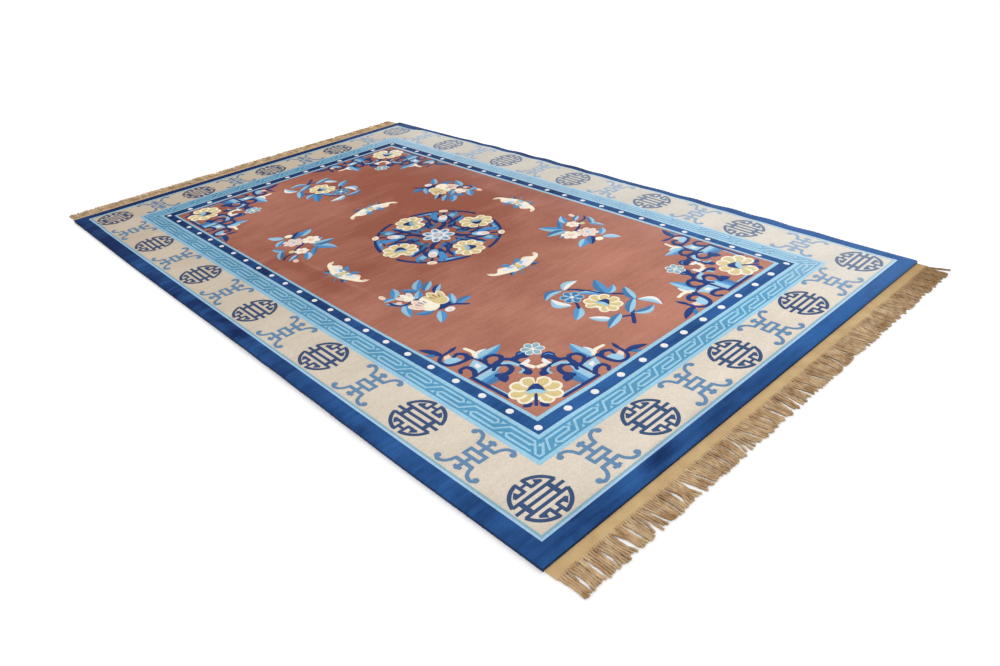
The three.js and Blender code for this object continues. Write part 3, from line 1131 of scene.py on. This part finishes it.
def bump(tree, height, strength, distance, under=None, invert=False):
    """Relief of a depth in metres, on top of another relief where one is given."""
    sockets = {"Height": height, "Strength": strength, "Distance": distance}
    if under is not None:
        sockets["Normal"] = under
    return node(tree, "ShaderNodeBump", sockets, invert=invert).outputs[0]


def blend(tree, factor, a, b, kind="MIX"):
    """Mixes two colours, which are inputs 6 and 7 of a Mix node; its plain numbers are inputs 2 and 3."""
    return node(tree, "ShaderNodeMix", {0: factor, 6: a, 7: b}, data_type="RGBA", blend_type=kind).outputs[2]


def painted_nap_light():
    """A node group for the light and shade painted into the pile's colour, over the rug and in patches where
    it is brushed or folded.
    """
    tree = bpy.data.node_groups.new("Painted nap light and shade", "ShaderNodeTree")
    tree.interface.new_socket("Place", in_out="INPUT", socket_type="NodeSocketVector")
    tree.interface.new_socket("Lean", in_out="OUTPUT", socket_type="NodeSocketFloat")
    place = node(tree, "NodeGroupInput").outputs[0]
    x, y, _ = node(tree, "ShaderNodeSeparateXYZ", {"Vector": place}).outputs
    painted_light = maths(tree, "MULTIPLY_ADD", x, PAINTED_LIGHT_ACROSS, PAINTED_LIGHT_MIDDLE)
    painted_light = maths(tree, "MULTIPLY_ADD", y, PAINTED_LIGHT_ALONG, painted_light)
    for at_x, at_y, half_length, half_width, turn, lighter in PAINTED_PATCHES:
        painted_patch = spot(tree, place, (at_x, at_y), (half_length, half_width), math.radians(turn), lighter)
        painted_light = maths(tree, "ADD", painted_light, painted_patch)
    node(tree, "NodeGroupOutput", {"Lean": painted_light})
    return tree


def dyed_wool(name, bright, dark, mottle, glare_share, painted_light_tree):
    """Cut wool pile, hand knotted and clipped: matt, with light and shade painted into its colour: lighter
    towards the near right corner, as where the pile leans to the light, and darker away from it, with
    painted lighter and darker patches between.
    The back shows small knots, paler."""
    material, tree, place = new_material(name)
    painted_light = node(tree, "ShaderNodeGroup", {"Place": place}, node_tree=painted_light_tree).outputs[0]
    # painted light and shade in random patches about 120 mm wide and strokes 14 mm apart along the knot
    # rows, as a hand brushes the pile; with the painted light of the nap they pick between the lit and the
    # shaded colour
    patches = noise(tree, mapped(tree, place, (0.55, 1.0, 1.0), 0.35), 8.0, 5.0, 0.58, 0.5)
    strokes = noise(tree, mapped(tree, place, (2.0, 24.0, 1.0)), 3.0, 3.0)
    mottle_and_painted_light = maths(tree, "MULTIPLY_ADD", patches, 2.0 * mottle, painted_light)
    mottle_and_painted_light = maths(tree, "MULTIPLY_ADD", strokes, 0.8 * mottle, mottle_and_painted_light)
    base = blend(tree, maths(tree, "SUBTRACT", mottle_and_painted_light, 1.4 * mottle, use_clamp=True), dark, bright)
    # painted reflection: the nap at the right side is painted paler and cooler, as if it faced a window
    across = node(tree, "ShaderNodeSeparateXYZ", {"Vector": place}).outputs["X"]
    facing = ranged(tree, across, *WINDOW_REACH, 0.0, PAINTED_GLARE * glare_share, "SMOOTHSTEP")
    base = blend(tree, facing, base, linear("#d6e8f6"))
    # tuft tips: one knot is 3.4 mm, drawn at 5 mm so that it shows in the render; the same noise paints the
    # hollows between the tips darker, as painted shade
    tufts = noise(tree, place, 200.0, 3.0, 0.7)
    base = blend(tree, 1.0, base, ranged(tree, tufts, 0.3, 0.7, 0.9, 1.08), "MULTIPLY")
    back = node(tree, "ShaderNodeAttribute", attribute_name="back").outputs["Fac"]
    base = blend(tree, back, base, blend(tree, 0.34, base, linear("#b9a88e")))
    knots = cells(tree, mapped(tree, place, (1000 / KNOT_PITCH,) * 3), 0.25)
    height = node(tree, "ShaderNodeMix", {0: back, 2: tufts, 3: knots}).outputs[0]
    raised = bump(tree, patches, 0.3, 0.012, bump(tree, height, 0.5, 0.0016))
    surface(tree, {"Base Color": base, "Normal": raised, "Roughness": 0.95, "Sheen Weight": 0.02,
                   "Sheen Roughness": 0.5, "Specular IOR Level": 0.03})
    return material


def soiled_corner(tree, place, base, soil):
    """Darkens a colour towards the rug's near right corner, where the cotton is soiled most."""
    return blend(tree, spot(tree, place, SOILED_AT, SOILED_SIZE, 0.0, 0.9), base, soil)


def cotton_surface(tree, base, raised):
    surface(tree, {"Base Color": base, "Normal": raised, "Roughness": 0.9, "Sheen Weight": 0.1,
                   "Specular IOR Level": 0.15})


def woven_cotton(name, colour, shade):
    """Unbleached cotton, plain woven as a flat band: matt, with fine ribs and soft tea stains."""
    material, tree, place = new_material(name)
    stains = ranged(tree, noise(tree, place, 24.0, 4.0), 0.35, 0.7, 0.0, 0.75)
    base = soiled_corner(tree, place, blend(tree, stains, colour, shade), linear(BAND_SOIL))
    threads = mapped(tree, place, (1000 / (2 * RIB_PITCH), 1000 / RIB_PITCH, 1.0))
    weave = cells(tree, threads, 0.3, "CHEBYCHEV")
    # painted shade: each thread is darker towards its edges, where the weave dips between threads
    base = blend(tree, 1.0, base, ranged(tree, weave, 0.0, 0.7, 1.06, 0.86), "MULTIPLY")
    cotton_surface(tree, base, bump(tree, weave, 0.5, 0.0006, invert=True))
    return material


def twisted_cotton(name, colour, shade):
    """Twisted warp yarn, uneven and a little soiled, most at the near right corner: matt, with painted
    highlights and painted shade in random streaks along the yarns, standing for the shade between them."""
    material, tree, place = new_material(name)
    soil = ranged(tree, noise(tree, place, 34.0, 3.0), 0.35, 0.68)
    base = soiled_corner(tree, place, blend(tree, soil, colour, shade), linear(YARN_SOIL))
    # streaks run with the yarns, which lie along Y: random tone of each yarn together with painted
    # highlights and painted shade between neighbours
    streaks_and_shade = noise(tree, mapped(tree, place, (1.0, 0.03, 0.3)), 150.0, 3.0)
    base = blend(tree, 1.0, base, ranged(tree, streaks_and_shade, 0.3, 0.7, 0.7, 1.22), "MULTIPLY")
    cotton_surface(tree, base, bump(tree, streaks_and_shade, 0.3, 0.0003))
    return material


def painted_floor(name, colour):
    """A seamless matt painted studio floor, so pale that it shows only soft shade."""
    material, tree, place = new_material(name)
    base = blend(tree, noise(tree, place, 1.2, 1.0), colour, linear("#fefefe"))
    surface(tree, {"Base Color": base, "Roughness": 0.9, "Specular IOR Level": 0.1})
    return material


# dye slot: plain name, colour where painted in light, colour where painted in shade, strength of the painted
# patches of light and shade, share of the painted window reflection
DYES = {
    "deep_blue": ("Deep indigo wool", "#32629f", "#0f2652", 0.8, 0.1),
    "light_blue": ("Pale blue wool", "#a6d5ec", "#7fa5bc", 0.3, 1.0),
    "ivory": ("Ivory wool", "#e5dacb", "#b5a794", 0.3, 0.5),
    "fret_ground": ("Mid blue wool", "#5ea2c8", "#4a7c98", 0.3, 1.0),
    "field": ("Rose brown wool", "#bf8572", "#8c5242", 0.5, 0.2),
    "navy": ("Navy wool", "#2d4684", "#203060", 0.3, 0.3),
    "ink": ("Ink blue wool", "#3f587e", "#3a4664", 0.3, 0.6),
    "steel": ("Steel blue wool", "#6a8fb4", "#5c7894", 0.3, 1.0),
    "slate": ("Slate blue wool", "#4f82b4", "#3a668f", 0.3, 0.5),
    "sky": ("Sky blue wool", "#5fa0d6", "#3f7db2", 0.3, 0.6),
    "gold": ("Straw gold wool", "#dec98d", "#c8b688", 0.3, 1.0),
    "cream": ("Cream wool", "#f9f1de", "#e8dcc2", 0.3, 1.0),
    "blush": ("Blush wool", "#f3dccd", "#dab8a6", 0.3, 1.0),
    "white": ("White wool", "#f4f1ee", "#d3d3d6", 0.3, 1.0),
    "pale_blue": ("Ice blue wool and painted edge highlight", "#b6d6f0", "#8fb4d4", 0.3, 1.0),
    "sea_blue": ("Grey blue wool and painted edge shade", "#98bdc8", "#7598a5", 0.3, 1.0),
    "selvedge": ("Overcast indigo wool edge", "#2c4470", "#16223f", 0.3, 0.3),
}


def colour_setting(name, hint, default):
    return bpy.props.FloatVectorProperty(name=name, description=hint, subtype="COLOR", size=4, min=0, max=1,
                                         default=linear(default))


def length_setting(name, hint, millimetres):
    return bpy.props.FloatProperty(name=name, description=hint, default=millimetres * MM, unit="LENGTH")


class RugSettings(bpy.types.PropertyGroup):
    groove_width: length_setting("Groove width", "How far beside a new colour the pile is clipped", 2.2)
    groove_depth: length_setting("Groove depth", "How deep the pile is clipped at a new colour", 1.3)
    field: colour_setting("Field", "Rose brown ground inside the borders", DYES["field"][1])
    deep_blue: colour_setting("Outer band", "Indigo of the outer and pearl bands", DYES["deep_blue"][1])
    ivory: colour_setting("Main border", "Ground of the border with the roundels", DYES["ivory"][1])


class FringeSettings(bpy.types.PropertyGroup):
    yarns: bpy.props.IntProperty(name="Yarns", description="Twisted yarns at each end", default=240)
    yarn_radius: length_setting("Yarn radius", "From a yarn's middle to the outside of its plies", 3.3)
    plies: bpy.props.IntProperty(name="Plies", description="Plies twisted into each yarn", default=4, min=3)
    twist_length: length_setting("Twist length", "Length of yarn for one full turn", 80)
    flatness: bpy.props.FloatProperty(
        name="Flatness", description="Height of a yarn that has been walked flat, against its width",
        default=0.66, min=0.1, max=1.0, subtype="FACTOR")
    yarn: colour_setting("Yarn", "Unbleached cotton of the fringe", "#c9ae88")
    band: colour_setting("Band", "Unbleached cotton of the woven band", "#cbae7e")


class StageSettings(bpy.types.PropertyGroup):
    lens: bpy.props.FloatProperty(name="Lens", description="Focal length on a 36 mm sensor in millimetres",
                                  default=27.5)
    daylight: bpy.props.FloatProperty(name="Daylight", description="Strength of the even light all round",
                                      default=1.02)
    softbox: bpy.props.FloatProperty(name="Softbox", description="Power of the large lamp overhead in watts",
                                     default=20.0, unit="POWER")


def mesh_object(name, vertices, faces, smooth=True):
    mesh = bpy.data.meshes.new(name)
    mesh.from_pydata([tuple(v) for v in vertices], [], [tuple(f) for f in faces])
    if smooth:
        mesh.shade_smooth()
    made = bpy.data.objects.new(name, mesh)
    bpy.context.scene.collection.objects.link(made)
    return made


class RUG_OT_pile(bpy.types.Operator):
    """Knots the rug: pile, pattern, edges and back in one closed sheet"""

    bl_idname = "rug.pile"
    bl_label = "Pile rug"

    def execute(self, context):
        settings = context.scene.rug
        slots = {dye: i for i, dye in enumerate(DYES)}
        vertices, faces, dyes, on_back = build_sheet(settings, slots)
        rug = mesh_object("pile_rug", vertices, faces)
        painted_light_tree = painted_nap_light()
        for dye, (name, bright, dark, mottle, glare_share) in DYES.items():
            colour = tuple(getattr(settings, dye)) if hasattr(settings, dye) else linear(bright)
            rug.data.materials.append(dyed_wool(name, colour, linear(dark), mottle, glare_share, painted_light_tree))
        rug.data.polygons.foreach_set("material_index", dyes)
        rug.data.attributes.new("back", "FLOAT", "FACE").data.foreach_set("value", on_back)
        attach(rug, "root")
        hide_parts("rug_pile")
        return {"FINISHED"}


# Fringe: the same sways and partings as its solid has
SWAYS = ((213, 9.0, 0.6, 2.9), (97, 3.6, 2.2, 0.4))
PARTINGS = {
    "near": ((-548, 74, 13), (-250, 60, 7), (330, 72, 6)),
    "far": ((-420, 70, 9), (160, 64, 8)),
}
CORNER_POWER = 8
END_MARGIN = 5.0
LOCK_REACH = 60.0
LOCK_UNEVEN = 9.0
ROOT_DEPTH = 5.0
STRAY_TIP = 20.0
BUNCH_WIDTHS = (26, 38, 31, 44, 29, 35, 24, 41)
BUNCH_PULL = 0.30        # how far yarns are drawn to the middle of their bunch
BUNCH_WAIST = 0.62       # where along the yarns a bunch is drawn together most
YARN_STEPS = 9
PLY_NOTCH = 0.74         # depth of the notches between a yarn's plies, as a share of its radius
YARN_STEP = 5.0          # length of yarn between two rounds of its mesh
YARN_STRAY = 0.6         # sideways, between neighbours in a bunch
YARN_BOW = 0.5
YARN_HOP = (0.4, 0.5)    # mean and spread of how far a yarn rises off the floor on its way
YARN_SEEDS = {"near": 7, "far": 11}
TIP_PULLS = (0.1, 0.4, 0.9, 1.3)    # how far bunches are drawn together at their tips


def tip_sway(x, end):
    sway = sum(tip * math.sin(2 * math.pi * x / wavelength + (near if end == "near" else far))
               for wavelength, tip, near, far in SWAYS)
    for at, reach, opening in PARTINGS[end]:
        off = (x - at) / reach
        sway += opening * math.copysign(math.sin(math.pi * math.sqrt(clamp01(abs(off)))), off)
    return sway


def band_ends(end):
    """Left and right ends of the woven band, seen with the fringe hanging down."""
    if end == "near":
        left, right = LEFT_EDGE[0][1], RIGHT_EDGE[0][1]
    else:
        left, right = RIGHT_EDGE[-1][1], LEFT_EDGE[-1][1]
    return -HALF_WIDTH + left + BAND_INSET, HALF_WIDTH - right - BAND_INSET


def bunch_middles(left, right):
    middles, start, i = [], left, 0
    while start < right:
        width = BUNCH_WIDTHS[i % len(BUNCH_WIDTHS)]
        middles.append((start, start + width, start + width / 2))
        start += width
        i += 1
    return middles


def gathered(t, at_tip):
    """How far a bunch is drawn together along its yarns: fully at its waist and less or more at the tips."""
    if t < BUNCH_WAIST:
        return ease(t / BUNCH_WAIST)
    return 1 + (at_tip - 1) * ease((t - BUNCH_WAIST) / (1 - BUNCH_WAIST))


def yarn_paths(settings, end):
    """The middle line of every yarn, in millimetres, with the fringe towards -Y and the band's edge at 0."""
    draw = random.Random(YARN_SEEDS[end])
    left, right = band_ends(end)
    bunches = []
    for start, stop, middle in bunch_middles(left, right):
        loose = 0.25 if end == "far" else 1.2 - 0.95 * (middle - left) / (right - left)
        pull = BUNCH_PULL * loose * draw.uniform(0.3, 1.5)
        bunches.append((start, stop, middle, pull, draw.choice(TIP_PULLS)))
    rest = settings.yarn_radius / MM
    pitch = (right - left - 2 * END_MARGIN) / (settings.yarns - 1)
    paths = []
    for i in range(settings.yarns):
        root = left + END_MARGIN + i * pitch
        middle = (2 * root - left - right) / (right - left)
        sway = tip_sway(root, end) * (1 - abs(middle) ** CORNER_POWER)
        bunch, pull, at_tip = next(rest_of for start, stop, *rest_of in bunches if start <= root <= stop)
        sway += draw.gauss(0, YARN_STRAY)
        if end == "near" and i == settings.yarns - 1:
            sway = STRAY_TIP
        reach = LOCK_REACH - LOCK_UNEVEN * draw.random()
        bow = draw.gauss(0, YARN_BOW)
        hop = max(0.0, draw.gauss(*YARN_HOP))
        path = []
        for step in range(YARN_STEPS + 1):
            t = step / YARN_STEPS
            x = root + sway * t ** 1.5 + bow * math.sin(2 * math.pi * t)
            x += pull * (bunch - root) * gathered(t, at_tip)
            z = rest + hop * math.sin(math.pi * t) ** 2
            path.append((x, ROOT_DEPTH - (ROOT_DEPTH + reach) * t, z))
        paths.append(path)
    return paths


def yarn_tree(material):
    """Turns lines into plied yarn: a lobed round swept along each line while it turns, then pressed flat."""
    tree = bpy.data.node_groups.new("Plied yarn", "GeometryNodeTree")
    for name, kind in (("Lines", "Geometry"), ("Yarn Radius", "Float"), ("Plies", "Int"),
                       ("Twist Length", "Float"), ("Step Length", "Float"), ("Flatness", "Float")):
        tree.interface.new_socket(name, in_out="INPUT", socket_type=f"NodeSocket{kind}")
    tree.interface.new_socket("Yarn", in_out="OUTPUT", socket_type="NodeSocketGeometry")
    given = node(tree, "NodeGroupInput").outputs
    line = node(tree, "GeometryNodeMeshToCurve", {"Mesh": given["Lines"]}).outputs[0]
    line = node(tree, "GeometryNodeResampleCurve", {"Curve": line, "Length": given["Step Length"]},
                mode="LENGTH").outputs[0]
    along = node(tree, "GeometryNodeSplineParameter").outputs["Length"]
    # one starting angle for the whole of each yarn
    yarn_number = node(tree, "GeometryNodeInputIndex").outputs[0]
    start = node(tree, "FunctionNodeRandomValue", {"Min": 0.0, "Max": 1.0, "Seed": 5, "ID": yarn_number},
                 data_type="FLOAT").outputs["Value"]
    start = node(tree, "GeometryNodeFieldOnDomain", {0: start}, domain="CURVE", data_type="FLOAT").outputs[0]
    turns = maths(tree, "ADD", maths(tree, "DIVIDE", along, given["Twist Length"]), start)
    angle = maths(tree, "MULTIPLY", turns, 2 * math.pi)
    line = node(tree, "GeometryNodeSetCurveTilt", {"Curve": line, "Tilt": angle}).outputs[0]
    notch = maths(tree, "MULTIPLY", given["Yarn Radius"], PLY_NOTCH)
    lobed = node(tree, "GeometryNodeCurveStar", {"Points": given["Plies"], "Inner Radius": notch,
                                                 "Outer Radius": given["Yarn Radius"]}).outputs[0]
    swept = node(tree, "GeometryNodeCurveToMesh", {"Curve": line, "Profile Curve": lobed,
                                                   "Fill Caps": True}).outputs[0]
    pressed = node(tree, "ShaderNodeCombineXYZ", {"X": 1.0, "Y": 1.0, "Z": given["Flatness"]}).outputs[0]
    flat = node(tree, "GeometryNodeTransform", {"Geometry": swept, "Scale": pressed}).outputs[0]
    whole = node(tree, "GeometryNodeRealizeInstances", {"Geometry": flat}).outputs[0]
    dressed = node(tree, "GeometryNodeSetMaterial", {"Geometry": whole, "Material": material}).outputs[0]
    node(tree, "NodeGroupOutput", {"Yarn": dressed})
    return tree


def spun_yarns(name, settings, paths, material):
    """The yarns as a plain mesh, made by the yarn tree."""
    vertices = [tuple(Vector(point) * MM) for path in paths for point in path]
    starts = range(0, len(vertices), YARN_STEPS + 1)
    edges = [(start + i, start + i + 1) for start in starts for i in range(YARN_STEPS)]
    mesh = bpy.data.meshes.new(name)
    mesh.from_pydata(vertices, edges, [])
    lines = bpy.data.objects.new(name, mesh)
    bpy.context.scene.collection.objects.link(lines)
    spin = lines.modifiers.new("Yarn", "NODES")
    spin.node_group = yarn_tree(material)
    given = {"Yarn Radius": settings.yarn_radius, "Plies": settings.plies, "Flatness": settings.flatness,
             "Twist Length": settings.twist_length, "Step Length": YARN_STEP * MM}
    for item in spin.node_group.interface.items_tree:
        if item.name in given:
            spin[item.identifier] = given[item.name]
    yarns = bpy.data.meshes.new_from_object(lines.evaluated_get(bpy.context.evaluated_depsgraph_get()))
    lines.modifiers.remove(spin)
    bpy.data.objects.remove(lines)
    return yarns


BAND_PITCH = 12
BAND_WAVES = ((0.25, 41), (0.2, 17))
# across and up, as shares of the band's depth and height
BAND_PROFILE = (
    (0.0, 0.0), (0.0, 0.72), (0.05, 1.0), (0.35, 0.93), (0.65, 0.96), (0.94, 1.0), (1.0, 0.7), (1.0, 0.0),
)


def woven_band(end):
    """The flat band as a closed strip along X, with softly rounded edges and a slight waviness."""
    left, right = band_ends(end)
    columns = spaced(left, right, BAND_PITCH)
    vertices, faces = [], []
    for x in columns:
        wave = sum(height * math.sin(x / length) for height, length in BAND_WAVES)
        for across, up in BAND_PROFILE:
            edge = wave if across > 0.9 else 0.0
            vertices.append(Vector((x, BAND_DEPTH * (1 - across) - edge, BAND_HIGH * up)) * MM)
    count = len(BAND_PROFILE)
    for i in range(len(columns) - 1):
        for j in range(count):
            a, b = i * count + j, i * count + (j + 1) % count
            faces.append((a, b, b + count, a + count))
    faces.append(tuple(reversed(range(count))))
    faces.append(tuple(range(len(vertices) - count, len(vertices))))
    return vertices, faces


class RUG_OT_fringes(bpy.types.Operator):
    """Weaves the band and twists the fringe at both ends of the rug"""

    bl_idname = "rug.fringes"
    bl_label = "Bands and fringes"

    def execute(self, context):
        settings = context.scene.fringe
        band_cotton = woven_cotton("Plain woven cotton band", tuple(settings.band), linear(BAND_SHADE))
        yarn_cotton = twisted_cotton("Twisted cotton warp yarn", tuple(settings.yarn), linear(YARN_SHADE))
        for end in ("near", "far"):
            vertices, faces = woven_band(end)
            fringe = mesh_object(f"end_fringe_{end}", vertices, faces, smooth=False)
            fringe.data.materials.append(band_cotton)
            fringe.data.materials.append(yarn_cotton)
            yarns = spun_yarns(f"yarns_{end}", settings, yarn_paths(settings, end), yarn_cotton)
            yarn_object = bpy.data.objects.new(f"yarns_{end}", yarns)
            context.scene.collection.objects.link(yarn_object)
            yarns.shade_smooth()
            both = [fringe, yarn_object]
            with context.temp_override(active_object=fringe, selected_editable_objects=both):
                bpy.ops.object.join()
            turn = Matrix.Rotation(math.pi if end == "far" else 0.0, 4, "Z")
            outward = -1 if end == "near" else 1
            shift = Matrix.Translation((0, outward * (HALF_LENGTH + PIECE_GAP + BAND_DEPTH) * MM, 0))
            fringe.data.transform(shift @ turn)
            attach(fringe, "root")
            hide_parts(f"fringe_{end}")
        return {"FINISHED"}


# Stage

CAMERA_PLACE = Vector((-1.3718, -1.8456, 1.0038))
CAMERA_TARGET = Vector((-0.2869, -0.6004, 0.012))
CAMERA_ROLL = math.radians(-4.45)
FLOOR_SIZE = 40.0


class RUG_OT_stage(bpy.types.Operator):
    """Lays the pale floor and sets the soft lights and the camera"""

    bl_idname = "rug.stage"
    bl_label = "Stage"

    def execute(self, context):
        scene, settings = context.scene, context.scene.stage
        half = FLOOR_SIZE / 2
        floor = mesh_object("studio_floor", [(-half, -half, 0), (half, -half, 0), (half, half, 0),
                                             (-half, half, 0)], [(0, 1, 2, 3)], smooth=False)
        floor.data.materials.append(painted_floor("Matt white studio paint", linear("#fcfcfc")))
        world = bpy.data.worlds.new("Even daylight")
        world.use_nodes = True
        world.node_tree.nodes["Background"].inputs["Color"].default_value = (1, 1, 1, 1)
        world.node_tree.nodes["Background"].inputs["Strength"].default_value = settings.daylight
        scene.world = world
        lamp = bpy.data.lights.new("Softbox", "AREA")
        lamp.shape, lamp.size, lamp.size_y = "RECTANGLE", 2.6, 2.0
        lamp.energy = settings.softbox
        softbox = bpy.data.objects.new("Softbox", lamp)
        softbox.location = (1.5, 1.2, 2.3)
        softbox.rotation_euler = (Vector((0, 0, 0)) - softbox.location).to_track_quat("-Z", "Y").to_euler()
        scene.collection.objects.link(softbox)
        eye = bpy.data.cameras.new("Photograph view")
        eye.lens, eye.sensor_width = settings.lens, 36.0
        camera = bpy.data.objects.new("Photograph view", eye)
        facing = (CAMERA_TARGET - CAMERA_PLACE).to_track_quat("-Z", "Y").to_matrix().to_4x4()
        placed = Matrix.Translation(CAMERA_PLACE) @ facing
        camera.matrix_world = placed @ Matrix.Rotation(CAMERA_ROLL, 4, "Z")
        scene.collection.objects.link(camera)
        scene.camera = camera
        scene.view_settings.view_transform = "Standard"
        return {"FINISHED"}


class RUG_PT_panel(bpy.types.Panel):
    """Sizes, colours and build steps of the rug"""

    bl_idname = "RUG_PT_panel"
    bl_label = "Chinese pile rug"
    bl_space_type = "VIEW_3D"
    bl_region_type = "UI"
    bl_category = "Rug"

    def draw(self, context):
        for settings, step in ((context.scene.rug, RUG_OT_pile), (context.scene.fringe, RUG_OT_fringes),
                               (context.scene.stage, RUG_OT_stage)):
            box = self.layout.box()
            for name in settings.__annotations__:
                box.prop(settings, name)
            box.operator(step.bl_idname)


SETTINGS = {"rug": RugSettings, "fringe": FringeSettings, "stage": StageSettings}
CLASSES = (*SETTINGS.values(), RUG_OT_pile, RUG_OT_fringes, RUG_OT_stage, RUG_PT_panel)


def register():
    for each in CLASSES:
        bpy.utils.register_class(each)
    for name, group in SETTINGS.items():
        setattr(bpy.types.Scene, name, bpy.props.PointerProperty(type=group))


def unregister():
    for name in SETTINGS:
        delattr(bpy.types.Scene, name)
    for each in reversed(CLASSES):
        bpy.utils.unregister_class(each)


def main():
    register()
    bpy.ops.rug.stage()
    bpy.ops.rug.pile()
    bpy.ops.rug.fringes()


if __name__ == "__main__":
    main()
